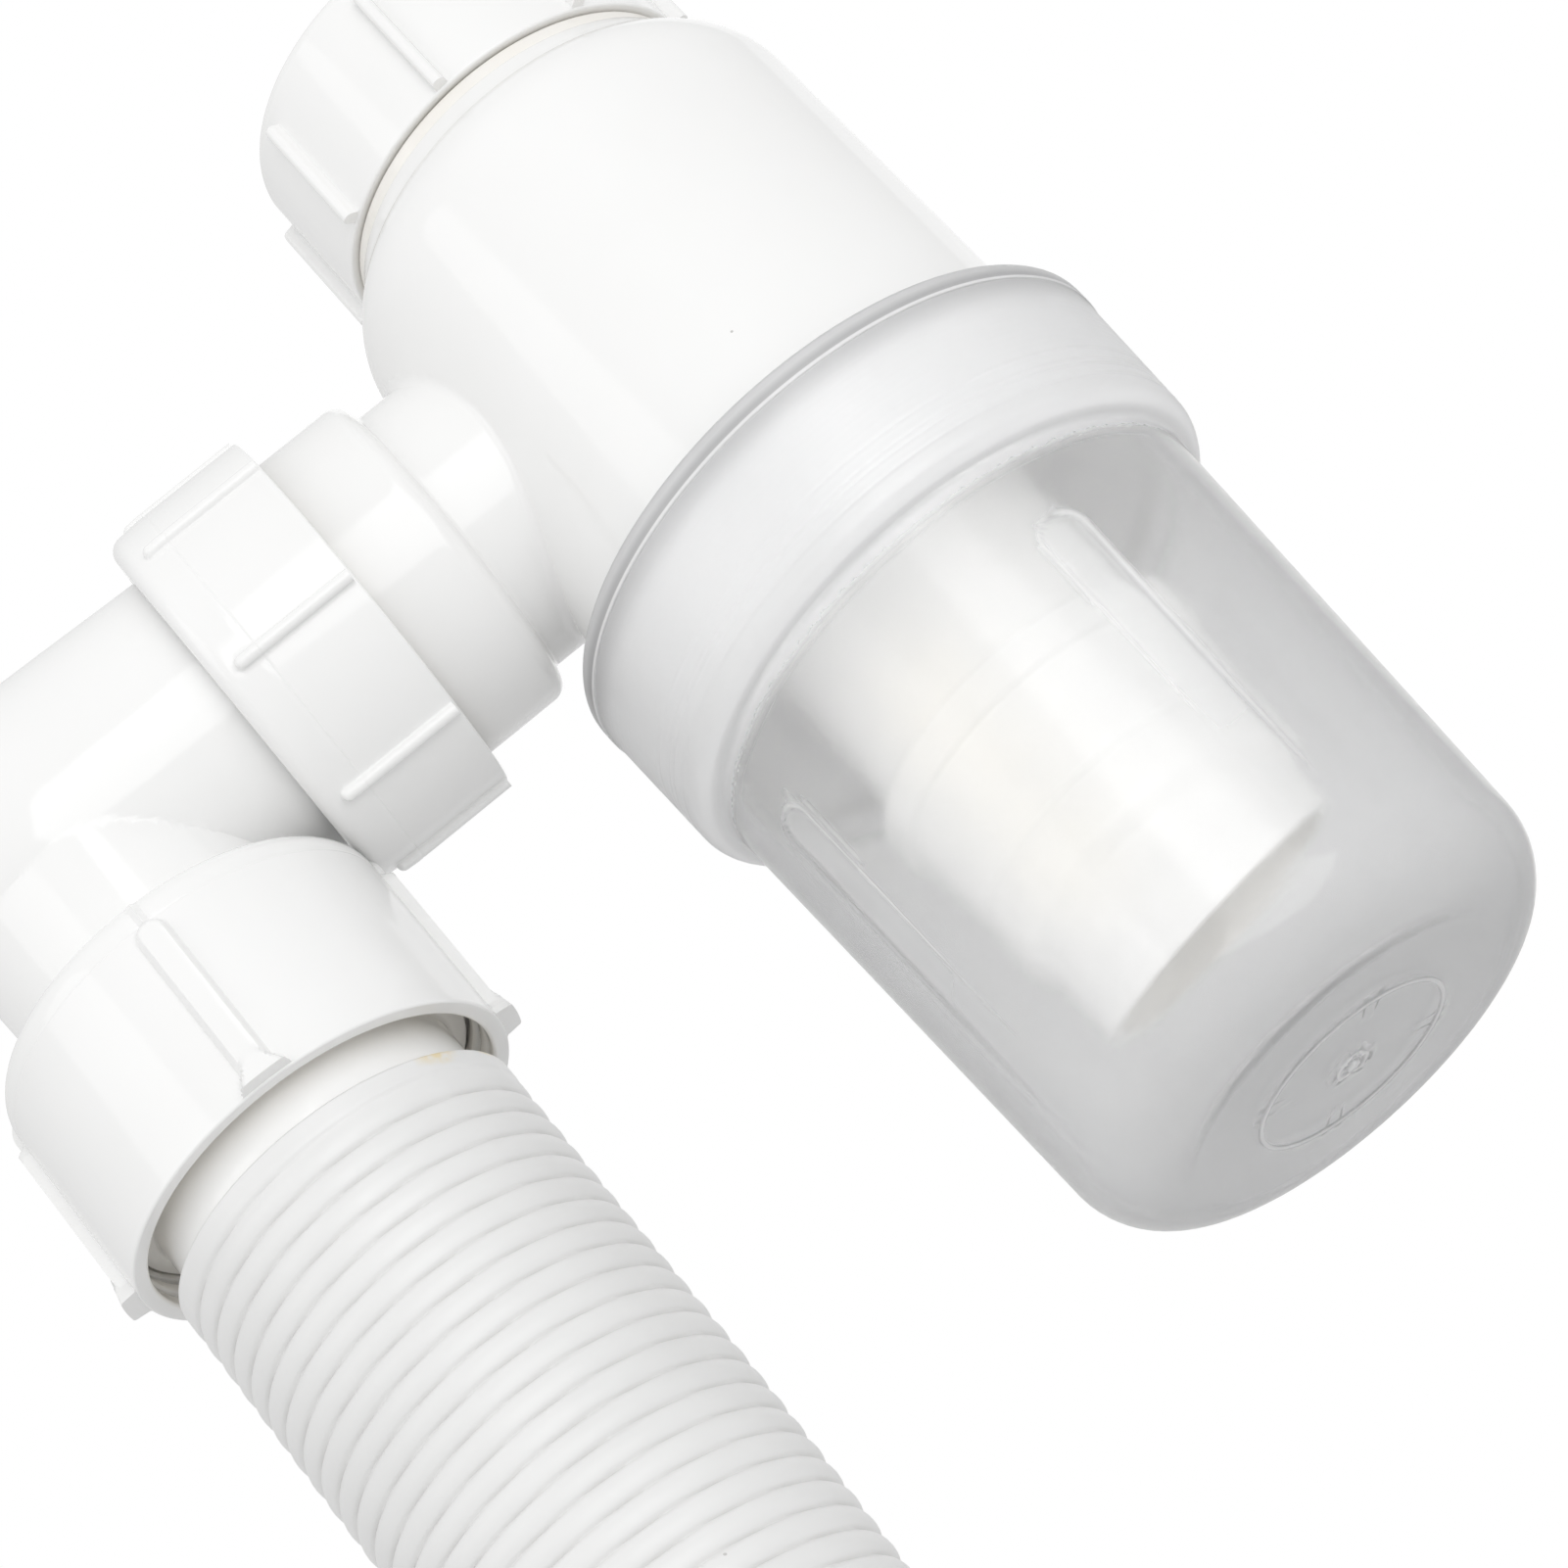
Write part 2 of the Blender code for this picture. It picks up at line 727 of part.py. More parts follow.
def make_hose(maker):
    route = [Vector((-LEG_X + aside, 0.0, HOSE_Z + down)) for aside, down in HOSE_ROUTE]
    path = smooth_route(route, ROUTE_STEPS)
    groove_r = HOSE_R - HOSE_RIB_DEPTH
    shares = [0.0]
    radii = [groove_r]
    for rib in range(HOSE_RIBS):
        shares += [(rib + 0.5) / HOSE_RIBS, (rib + 1.0) / HOSE_RIBS]
        radii += [HOSE_R, groove_r]
    hose = maker.from_bmesh(
        "hose",
        tube_mesh("hose", resample(path, shares), radii),
        material=soft_white("hose"),
    )
    past = Vector((0.0, 0.0, CUT_PAST))
    bore_path = [route[0] + past, *route, route[-1] - past]
    bore = maker.from_bmesh("hose_bore", tube_mesh("hose_bore", bore_path, [HOSE_BORE_R] * len(bore_path)))
    combine(hose, bore, "DIFFERENCE")
    bottom = CUFF_Z - CUFF_L
    maker.turned(
        "hose_end_cuff",
        [
            (CUFF_FLANGE_R, CUFF_Z),
            (CUFF_FLANGE_R, CUFF_Z - CUFF_FLANGE_H),
            (CUFF_R, CUFF_Z - CUFF_FLANGE_H),
            (CUFF_R, bottom + CUFF_CHAMFER),
            (CUFF_R - CUFF_CHAMFER, bottom),
            (CUFF_R - CUFF_WALL, bottom),
            (CUFF_R - CUFF_WALL, CUFF_Z),
        ],
        soft_white("hose end cuff"),
        (-LEG_X + HOSE_ROUTE[-1][0], 0.0, 0.0),
    )


def flute_cutters():
    """Round-ended slots that lie along the cup's sloping wall, as one mesh."""
    wall_top = RIM_Z - CUP_COLLAR_H - (CUP_COLLAR_LOW_R - CUP_TOP_R)
    wall_h = wall_top - (FLOOR_Z + CUP_CORNER)
    slope = math.atan2(CUP_TOP_R - CUP_LOW_R, wall_h)
    middle_z = RIM_Z - FLUTE_TOP - FLUTE_L / 2
    middle_r = CUP_TOP_R - (wall_top - middle_z) * math.tan(slope)
    depth = 2 * CUT_PAST
    half_run = (FLUTE_L - FLUTE_W) / 2
    shape = bmesh.new()
    lying = Matrix.Rotation(math.radians(90.0), 4, "Y")
    half_step = Matrix.Rotation(math.pi / FLUTE_STEPS, 4, "Z")
    for angle in FLUTE_ANGLES:
        made = bmesh.ops.create_cone(
            shape,
            cap_ends=True,
            segments=FLUTE_STEPS,
            radius1=FLUTE_W / 2,
            radius2=FLUTE_W / 2,
            depth=depth,
            matrix=lying @ half_step,
        )
        for vertex in made["verts"]:
            vertex.co.z += math.copysign(half_run, vertex.co.z)
        lean = Matrix.Rotation(slope, 4, "Y")
        out = Matrix.Translation((middle_r - FLUTE_DEPTH + depth / 2, 0.0, middle_z))
        bmesh.ops.transform(shape, matrix=around(angle) @ out @ lean, verts=made["verts"])
    return shape


def make_cup(maker):
    step = CUP_COLLAR_LOW_R - CUP_TOP_R
    step_z = RIM_Z - CUP_COLLAR_H
    corner_z = FLOOR_Z + CUP_CORNER
    corner_r = CUP_LOW_R - CUP_CORNER
    ring_out = CUP_RING_R + CUP_RING_W / 2
    ring_in = CUP_RING_R - CUP_RING_W / 2
    cup = maker.turned(
        "cup",
        [
            (0.0, FLOOR_Z + CUP_WALL),
            *arc(corner_r, corner_z, CUP_CORNER - CUP_WALL, -90.0, 0.0),
            (CUP_TOP_R - CUP_WALL, CUP_LEDGE_Z),
            (CUP_BORE_R, CUP_LEDGE_Z),
            (CUP_BORE_R, RIM_Z),
            *arc(CUP_LIP_R - CUP_RIM_ROUND, RIM_Z - CUP_RIM_ROUND, CUP_RIM_ROUND, 90.0, 0.0, EDGE_STEPS),
            (CUP_LIP_R, RIM_Z - CUP_LIP_H),
            (CUP_COLLAR_R, RIM_Z - CUP_LIP_H),
            *arc(CUP_TOP_R, step_z, step, 0.0, -90.0),
            *arc(corner_r, corner_z, CUP_CORNER, 0.0, -90.0),
            (ring_out, FLOOR_Z),
            (ring_out, FLOOR_Z - CUP_RING_H),
            (ring_in, FLOOR_Z - CUP_RING_H),
            (ring_in, FLOOR_Z),
            (0.0, FLOOR_Z),
        ],
        plastic("cup", (0.86, 0.87, 0.87), 0.35, 0.6),
    )
    combine(cup, maker.from_bmesh("cup_flutes", flute_cutters()), "DIFFERENCE")
    maker.turned(
        "cup_seal",
        ring(CUP_TOP_R - CUP_WALL + FIT, CUP_BORE_R - FIT, SKIRT_Z - FIT, CUP_SEAL_H),
        pale_rubber("cup seal"),
        steps=RING_STEPS,
    )


def main():
    for old in list(bpy.data.objects):
        bpy.data.objects.remove(old)
    maker = Maker()
    make_body(maker)
    make_inlet_nut(maker)
    make_dip_tube(maker)
    make_outlet_nut(maker)
    make_elbow(maker)
    make_hose_nut(maker)
    make_adapter(maker)
    make_hose(maker)
    make_cup(maker)


main()
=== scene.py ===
"""Fine surfaces, procedural plastics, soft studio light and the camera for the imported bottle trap."""

import math

import bmesh
import bpy
import numpy as np
from mathutils import Matrix, Vector


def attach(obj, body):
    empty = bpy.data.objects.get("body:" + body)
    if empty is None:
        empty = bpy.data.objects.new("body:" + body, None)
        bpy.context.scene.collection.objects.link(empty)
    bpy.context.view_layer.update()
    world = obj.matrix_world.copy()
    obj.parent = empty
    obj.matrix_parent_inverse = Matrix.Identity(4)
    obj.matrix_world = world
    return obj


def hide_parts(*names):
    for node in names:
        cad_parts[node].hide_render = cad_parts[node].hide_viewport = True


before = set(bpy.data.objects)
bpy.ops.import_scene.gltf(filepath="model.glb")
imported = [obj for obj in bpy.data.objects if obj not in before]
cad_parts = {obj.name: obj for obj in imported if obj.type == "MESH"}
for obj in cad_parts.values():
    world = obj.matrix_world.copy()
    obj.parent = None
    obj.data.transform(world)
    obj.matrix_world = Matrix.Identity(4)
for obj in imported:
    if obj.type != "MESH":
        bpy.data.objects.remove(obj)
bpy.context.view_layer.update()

# Sizes are in millimetres here, and meshes are made in metres.
MM = 0.001

# Heights on the body's axis, and where the outlet and the leg lie
MOUTH_Z = -9.5
NECK_LOW_Z = -23.6
SHOULDER_Z = -35.4
OUTLET_Z = -54.6
RIM_Z = -83.2
SKIRT_Z = -101.0
CUP_LEDGE_Z = -103.2
FLOOR_Z = -173.2
LEG_X = -92.0

# Threads and nuts
THREAD_R = 22.6
THREAD_ROWS_R = 22.0
THREAD_LIFT = 0.3
PIPE_THREAD_PITCH = 25.4 / 11.0
CUP_THREAD_PITCH = 4.0
NUT_R = 25.1
NUT_BORE_R = 23.0
NUT_LID = 3.0
NUT_GROOVE = 0.35
RIB_REACH = 1.2
THIN_RIBS = 8
THIN_RIB_W = 1.6
BROAD_RIBS = 4
BROAD_RIB_W = 3.8

# The body with its outlet
BODY_R = 31.1
BODY_TAPER = 0.7
BODY_TAPER_H = 48.6
SHOULDER_R = 11.8
SHOULDER_MIDDLE_R = 19.3
CAVITY_SHOULDER_R = 9.6
CAVITY_R = 31.4
GAP_RING_R = 24.2
SKIRT_R = 34.0
SKIRT_TOP_Z = -86.2
NECK_R = 18.4
NECK_COLLAR_R = 21.4
NECK_FILLET = 1.3

# The elbow
PIPE_R = 19.8
PIPE_BORE_R = 17.6
BEND_R = 20.6
LEG_R = 18.0
LEG_BORE_R = 15.8
LEG_LOW_Z = -97.7
HOSE_NUT_TOP = -77.2

# The dip tube
TUBE_R = 18.4
TUBE_BORE_R = 16.8
TUBE_LOW_Z = -128.7
TUBE_END_TOP = -118.7
SLEEVE_R = 19.4
SLEEVE_BORE_R = 18.7
TAIL_R = 17.6
TAIL_BORE_R = 16.0
TAIL_SLANT = 10.0
TAIL_TURN = -27.0 - 90.0

# The cup
COLLAR_R = 37.0
COLLAR_LOW_R = 36.8
COLLAR_BORE_R = 34.4
STEP_Z = RIM_Z - 19.4
STEP_R = 3.0
CUP_R = 33.3
CUP_TAPER = 2.1
CUP_LOW_R = 31.2
CUP_BORE_R = 31.4
CORNER_R = 9.8
CORNER_BORE_R = 7.9
WALL_TOP_Z = STEP_Z - 3.0
WALL_LOW_Z = FLOOR_Z + CORNER_R
CUP_FLOOR = 1.9
FLUTES = (-62.5, 20.8, 117.5, 200.8)
FLUTE_HALF = 2.8
FLUTE_MIDDLE_R = 32.3
FLUTE_TOP_Z = RIM_Z - 31.8
FLUTE_LOW_Z = FLUTE_TOP_Z - 46.5
FLUTE_FADE = 30.0
FLOOR_RING_R = 12.6
COLLAR_LINES = (14.4, 16.2, 17.0, 18.6)

# Under the floor: radii and drops of the raised ring, the round mark and the gate
FLOOR_ROWS = (
    (14.5, 0.0),
    (13.1, 0.0),
    (12.9, 0.18),
    (12.75, 0.22),
    (12.45, 0.22),
    (12.3, 0.18),
    (12.1, 0.0),
    (8.0, 0.0),
    (4.0, 0.0),
    (2.4, 0.0),
    (2.15, 0.22),
    (1.75, 0.22),
    (1.45, 0.0),
    (0.95, 0.0),
    (0.75, 0.45),
    (0.4, 0.5),
    (0.05, 0.5),
)

# The hose's route, as steps aside and down from its upper end
HOSE_TOP = -110.2
HOSE_ROUTE = (
    (0.0, 0.0),
    (0.0, -24.0),
    (0.0, -47.0),
    (-0.6, -70.0),
    (-1.4, -90.0),
    (-2.0, -110.0),
    (-2.3, -130.0),
    (-2.2, -150.0),
    (-1.9, -175.0),
    (-1.5, -200.0),
    (-1.1, -225.0),
    (-0.7, -250.0),
    (-0.4, -275.0),
    (-0.2, -300.0),
    (0.0, -325.0),
    (0.0, -350.0),
    (0.0, -375.0),
    (0.0, -400.0),
)
HOSE_R = 22.4
HOSE_BORE_R = 19.0
HOSE_RIBS = 120
HOSE_ROWS_PER_RIB = 16
HOSE_AROUND = 96
HOSE_END = 2.2
CUFF_TOP = -510.5
CUFF_R = 20.0
CUFF_BORE_R = 17.8

ROUND = 2 * math.pi * np.arange(160) / 160


# Helpers


def unit(values):
    """Values cut off at 0 and 1."""
    return np.clip(values, 0, 1)


def ease(t):
    """A rise from 0 to 1 with soft ends."""
    return t * t * (3 - 2 * t)


def bell(values, width):
    return np.exp(-((values / width) ** 2))


def mirrored(values):
    return sorted({-v for v in values} | set(values))


def beside(a, first, wall_r, count=1):
    """How far round a wall each angle lies from the nearest of count even places. first is in degrees."""
    pitch = 2 * math.pi / count
    return ((a - math.radians(first) + pitch / 2) % pitch - pitch / 2) * wall_r


# Profiles


def dome(r, z, radius, degrees):
    """Points on an arc about (r, z), at angles from straight up towards the outside."""
    return [(r + radius * math.sin(math.radians(t)), z + radius * math.cos(math.radians(t))) for t in degrees]


def arc(r, z, radius, degrees):
    """Points on an arc about (r, z), at angles from the outside towards straight up."""
    return [(r + radius * math.cos(math.radians(t)), z + radius * math.sin(math.radians(t))) for t in degrees]


def soften(corners, closed=True):
    """A profile of (r, z) points whose corners (r, z, radius) are rounded."""
    made = []
    count = len(corners)
    nearly_straight = math.radians(89.5)
    most_of_a_stretch = 0.49
    degrees_apart = 9
    for i, (r, z, radius) in enumerate(corners):
        here = np.array((r, z))
        back = np.array(corners[i - 1][:2]) - here
        on = np.array(corners[(i + 1) % count][:2]) - here
        at_end = not closed and i in (0, count - 1)
        if at_end or radius <= 0:
            made.append((r, z))
            continue
        back_l = np.linalg.norm(back)
        on_l = np.linalg.norm(on)
        back = back / back_l
        on = on / on_l
        half = math.acos(float(np.clip(back @ on, -1, 1))) / 2
        if half > nearly_straight:
            made.append((r, z))
            continue
        reach = min(radius / math.tan(half), most_of_a_stretch * min(back_l, on_l))
        radius = reach * math.tan(half)
        middle = here + (back + on) / np.linalg.norm(back + on) * radius / math.sin(half)
        start = here + back * reach - middle
        end = here + on * reach - middle
        first = math.atan2(start[1], start[0])
        sweep = (math.atan2(end[1], end[0]) - first + math.pi) % (2 * math.pi) - math.pi
        steps = max(3, round(abs(math.degrees(sweep)) / degrees_apart))
        for k in range(steps + 1):
            a = first + sweep * k / steps
            made.append((middle[0] + radius * math.cos(a), middle[1] + radius * math.sin(a)))
    return made


def fill(profile, step, stops=(), beyond=0.0, closed=True):
    """Adds points so that no stretch is longer than step.

    Walls beyond a radius also get points at the heights in stops.
    """
    made = []
    ends = profile[1:] + (profile[:1] if closed else [])
    for (r0, z0), (r1, z1) in zip(profile, ends):
        count = max(1, math.ceil(math.hypot(r1 - r0, z1 - z0) / step))
        marks = {k / count for k in range(count)}
        if min(r0, r1) > beyond and abs(z1 - z0) > 0.001:
            marks |= {(s - z0) / (z1 - z0) for s in stops if 0 < (s - z0) / (z1 - z0) < 1}
        made += [(r0 + (r1 - r0) * t, z0 + (z1 - z0) * t) for t in sorted(marks)]
    if not closed:
        made.append(profile[-1])
    return made


def turn(profile, angles=ROUND, push=None):
    """Points of a profile turned about Z, rows by angles from -Y towards +X. push adds to the radius."""
    p = np.array(profile, float)
    r = np.repeat(p[:, :1], len(angles), 1)
    z = np.repeat(p[:, 1:2], len(angles), 1)
    a = np.repeat(np.asarray(angles)[None, :], len(p), 0)
    if push:
        r = r + push(r, z, a)
    return np.stack([r * np.sin(a), -r * np.cos(a), z], -1)


# Places on the three axes, in metres


def on_body(p):
    return p * MM


def on_leg(p):
    return (p + np.array((LEG_X, 0.0, 0.0))) * MM


def on_outlet(p):
    """A profile's height runs along the outlet, away from the body."""
    return np.stack([-p[..., 2], p[..., 1], p[..., 0] + OUTLET_Z], -1) * MM


# Meshes


def skin(name, rows, place, closed=True):
    """A mesh object over rows of points whose columns close round. Open rows end in poles."""
    count, around = rows.shape[:2]
    points = place(rows).reshape(-1, 3)
    i, j = np.meshgrid(np.arange(count if closed else count - 1), np.arange(around), indexing="ij")
    k, n = (i + 1) % count, (j + 1) % around
    quads = np.stack([i * around + j, i * around + n, k * around + n, k * around + j], -1)
    faces = quads.reshape(-1, 4).tolist()
    if not closed:
        top, bottom = points[:around].mean(0), points[-around:].mean(0)
        first, last = len(points), len(points) + 1
        points = np.vstack([points, top, bottom])
        start = (count - 1) * around
        faces += [(first, (j + 1) % around, j) for j in range(around)]
        faces += [(last, start + j, start + (j + 1) % around) for j in range(around)]
    mesh = bpy.data.meshes.new(name)
    mesh.from_pydata(points.tolist(), [], faces)
    shape = bmesh.new()
    shape.from_mesh(mesh)
    bmesh.ops.recalc_face_normals(shape, faces=shape.faces)
    shape.to_mesh(mesh)
    shape.free()
    made = bpy.data.objects.new(name, mesh)
    bpy.context.scene.collection.objects.link(made)
    return made


def cutter(name, profile, place):
    """A turned helper for a cut."""
    return skin(name, turn(profile, ROUND[::2]), place, closed=False)


def block(name, matrix):
    """A helper box for a cut."""
    mesh = bpy.data.meshes.new(name)
    shape = bmesh.new()
    bmesh.ops.create_cube(shape, size=1.0, matrix=matrix)
    shape.to_mesh(mesh)
    shape.free()
    made = bpy.data.objects.new(name, mesh)
    bpy.context.scene.collection.objects.link(made)
    return made


def carve(made, *steps):
    """Joins or cuts with helper objects, which are then removed."""
    for operation, other in steps:
        modifier = made.modifiers.new(operation, "BOOLEAN")
        modifier.operation = operation
        modifier.solver = "EXACT"
        modifier.object = other
    graph = bpy.context.evaluated_depsgraph_get()
    mesh = bpy.data.meshes.new_from_object(made.evaluated_get(graph))
    made.modifiers.clear()
    made.data = mesh
    for _, other in steps:
        bpy.data.objects.remove(other)
    return made


def wear(made, material, body, node, sharp=38.0):
    """Shades a piece, gives it its material and puts it on its body in place of its CAD node."""
    made.data.shade_smooth()
    made.data.set_sharp_from_angle(angle=math.radians(sharp))
    smooth = made.modifiers.new("normals", "WEIGHTED_NORMAL")
    smooth.keep_sharp = True
    made.data.materials.clear()
    made.data.materials.append(material)
    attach(made, body)
    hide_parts(node)
    return made


def mark(made, name, rule):
    """A mask on the points of a mesh, from a rule on their places in millimetres."""
    mesh = made.data
    places = np.empty(len(mesh.vertices) * 3, np.float32)
    mesh.vertices.foreach_get("co", places)
    places = places.reshape(-1, 3).astype(float) / MM
    values = unit(rule(places[:, 0], places[:, 1], places[:, 2]))
    attribute = mesh.attributes.new(name, "FLOAT", "POINT")
    attribute.data.foreach_set("value", values.astype(np.float32))


# Raised and sunk detail, as what it adds to the radius


def screw_thread(wall_r, low, high, pitch, lift):
    """A helical ridge on the wall of this radius, or a groove where the wall is a bore."""

    def push(r, z, a):
        phase = (z / pitch - a / (2 * math.pi)) % 1.0
        ridge = unit(1.7 - np.abs(phase - 0.5) / 0.18)
        fade = unit((z - low) / pitch) * unit((high - z) / pitch)
        return np.where(np.abs(r - wall_r) < 0.02, lift * ridge * fade, 0.0)

    return push


def round_ribs(first, count, wall_r, foot, length, height, width):
    """Narrow ribs with a round crest and a round upper end."""
    half = width / 2
    root = 0.25

    def push(r, z, a):
        side = np.abs(beside(a, first, wall_r, count))
        along = z - foot
        d = np.hypot(side, np.maximum(along - (length - half), 0))
        crest = height - half + np.sqrt(np.maximum(half * half - d * d, 0))
        lift = np.where(d <= half, crest, root * unit(1 - (d - half) / root) ** 2)
        return np.where((r > wall_r - RIB_REACH) & (along >= 0), lift, 0.0)

    return push


def tongue_ribs(first, count, wall_r, foot, length, height, width, nub):
    """Broad low ribs with a round upper end, each with a wedge-shaped nub at its foot."""
    half = width / 2
    nub_r, nub_w, nub_h = nub

    def push(r, z, a):
        side = np.abs(beside(a, first, wall_r, count))
        along = z - foot
        d = np.hypot(side, np.maximum(along - (length - half), 0)) / half
        lift = height * ease(unit((1.12 - d) / 0.42))
        taper = unit(1 - along / nub_h)
        wedge = unit((nub_w / 2 * taper - side) / 0.7 + 0.5)
        lift = np.maximum(lift, wedge * (height + (nub_r - wall_r - height) * taper))
        return np.where((r > wall_r - RIB_REACH) & (along >= 0), lift, 0.0)

    return push


def hairline(wall_r, level, depth=0.06, width=0.16):
    """A fine mould line round a wall."""

    def push(r, z, a):
        near = unit(1 - np.abs(z - level) / width)
        return np.where(r > wall_r - 0.6, -depth * near, 0.0)

    return push


def together(*pushes):
    return lambda r, z, a: sum(push(r, z, a) for push in pushes)


def angles_for(first, count, offsets, coarse=1.5):
    """Angles round a ribbed wall: close together near each rib, and coarse degrees apart elsewhere."""
    offsets = np.radians(np.asarray(offsets, float))
    pitch = 2 * math.pi / count
    edge = offsets.max()
    plain = np.linspace(edge, pitch - edge, max(2, round(math.degrees(pitch - 2 * edge) / coarse)))[1:-1]
    one = np.sort(np.concatenate([offsets, plain]))
    return np.concatenate([math.radians(first) + pitch * i + one for i in range(count)])


# Materials


class Paint:
    """A Principled material whose inputs are fed by procedural nodes."""

    def __init__(self, name, **values):
        self.material = bpy.data.materials.new(name)
        self.material.use_nodes = True
        self.tree = self.material.node_tree
        self.shader = self.tree.nodes["Principled BSDF"]
        for key, value in values.items():
            self.shader.inputs[key.replace("_", " ").title().replace("Ior", "IOR")].default_value = value
        self.place = self.tree.nodes.new("ShaderNodeTexCoord").outputs["Object"]

    def node(self, kind, **links):
        made = self.tree.nodes.new("ShaderNode" + kind)
        for key, value in links.items():
            if hasattr(made, key):
                setattr(made, key, value)
                continue
            socket = made.inputs[int(key[1:])] if key[0] == "i" and key[1:].isdigit() else made.inputs[key]
            if isinstance(value, bpy.types.NodeSocket):
                self.tree.links.new(value, socket)
            else:
                socket.default_value = value
        return made

    def feed(self, name, socket):
        self.tree.links.new(socket, self.shader.inputs[name])

    def mask(self, name):
        return self.node("Attribute", attribute_name=name).outputs["Fac"]

    def stretched(self, x, y, z):
        return self.node("Mapping", Vector=self.place, Scale=(x, y, z)).outputs["Vector"]

    def noise(self, scale, detail=2.0, vector=None):
        made = self.node("TexNoise", Vector=vector or self.place, Scale=scale, Detail=detail)
        return made.outputs["Fac"]

    def ramp(self, socket, *stops):
        made = self.node("ValToRGB", Fac=socket)
        elements = made.color_ramp.elements
        while len(elements) < len(stops):
            elements.new(0.5)
        for element, (at, colour) in zip(elements, stops):
            element.position = at
            element.color = (*colour, 1.0) if len(colour) == 3 else colour
        return made.outputs["Color"]

    def span(self, socket, low, high, to_low, to_high):
        made = self.node("MapRange", Value=socket, i1=low, i2=high, i3=to_low, i4=to_high)
        return made.outputs["Result"]

    def math(self, operation, a, b):
        return self.node("Math", operation=operation, i0=a, i1=b).outputs["Value"]

    def mix(self, factor, a, b, blend="MIX"):
        made = self.node("Mix", data_type="RGBA", blend_type=blend, i0=factor, i6=a, i7=b)
        return made.outputs[2]

    def bump(self, height, strength, distance, normal=None):
        made = self.node("Bump", Height=height, Strength=strength, Distance=distance)
        if normal:
            self.tree.links.new(normal, made.inputs["Normal"])
        return made.outputs["Normal"]

    def specks(self, colour, scale=150.0, share=0.05, size=0.04):
        """Sparse fine specks of dust over a colour."""
        dust = (0.56, 0.55, 0.54, 1.0)
        cells = self.node("TexVoronoi", Vector=self.place, Scale=scale)
        inside = self.math("LESS_THAN", cells.outputs["Distance"], size)
        chosen = self.node("SeparateColor", Color=cells.outputs["Color"]).outputs["Red"]
        chosen = self.math("LESS_THAN", chosen, share)
        return self.mix(self.math("MULTIPLY", inside, chosen), colour, dust)


def white_plastic(name, light, dark, warm, rough, grain):
    """Moulded white plastic tinted by a mask: painted warm shade in recesses and inside the nuts, and the dip
    tube's yellowing.

    It has faint cloudiness, a fine grain and uneven gloss.
    """
    paint = Paint(name, ior=1.5)
    cloud = paint.noise(38.0, 3.0)
    colour = paint.ramp(cloud, (0.32, dark), (0.68, light))
    # Painted warm shade in gaps, recesses and inside the nuts; on the dip tube the same mask is its
    # yellowing.
    painted_shade_and_yellowing = paint.mask("painted_shade_and_yellowing")
    patchy = paint.span(paint.noise(260.0, 2.0), 0.3, 0.7, 0.75, 1.0)
    colour = paint.mix(paint.math("MULTIPLY", painted_shade_and_yellowing, patchy), colour, (*warm, 1.0))
    paint.feed("Base Color", paint.specks(colour))
    fine = paint.noise(2600.0, 2.0)
    scuff = paint.noise(90.0, 4.0, paint.stretched(1.0, 1.0, 0.25))
    paint.feed("Roughness", paint.span(scuff, 0.3, 0.72, *rough))
    wave = paint.bump(paint.noise(55.0, 1.0), 0.12, 0.0008)
    paint.feed("Normal", paint.bump(fine, grain, 0.00006, wave))
    return paint.material


def hose_plastic():
    """Soft blown plastic, greyer and matt, with drag marks along the hose and painted shade in the grooves.
    """
    groove_shade = (0.72, 0.716, 0.707, 1.0)
    old_glue = (0.78, 0.67, 0.44, 1.0)
    paint = Paint("hose_white", ior=1.48)
    colour = paint.ramp(paint.noise(60.0, 3.0), (0.3, (0.775, 0.775, 0.77)), (0.7, (0.815, 0.815, 0.81)))
    # Painted shade: the grooves are darker by how deep they sink.
    groove = paint.mask("painted_shade_and_yellowing")
    colour = paint.mix(paint.math("MULTIPLY", groove, 0.7), colour, groove_shade)
    glue = paint.mask("glue")
    blot = paint.span(paint.noise(420.0, 2.0), 0.32, 0.5, 0.0, 1.0)
    colour = paint.mix(paint.math("MULTIPLY", glue, blot), colour, old_glue)
    paint.feed("Base Color", paint.specks(colour, 190.0, 0.05))
    drag = paint.noise(700.0, 3.0, paint.stretched(1.0, 1.0, 0.12))
    paint.feed("Roughness", paint.span(drag, 0.3, 0.7, 0.34, 0.50))
    paint.feed("Normal", paint.bump(drag, 0.12, 0.0001))
    return paint.material


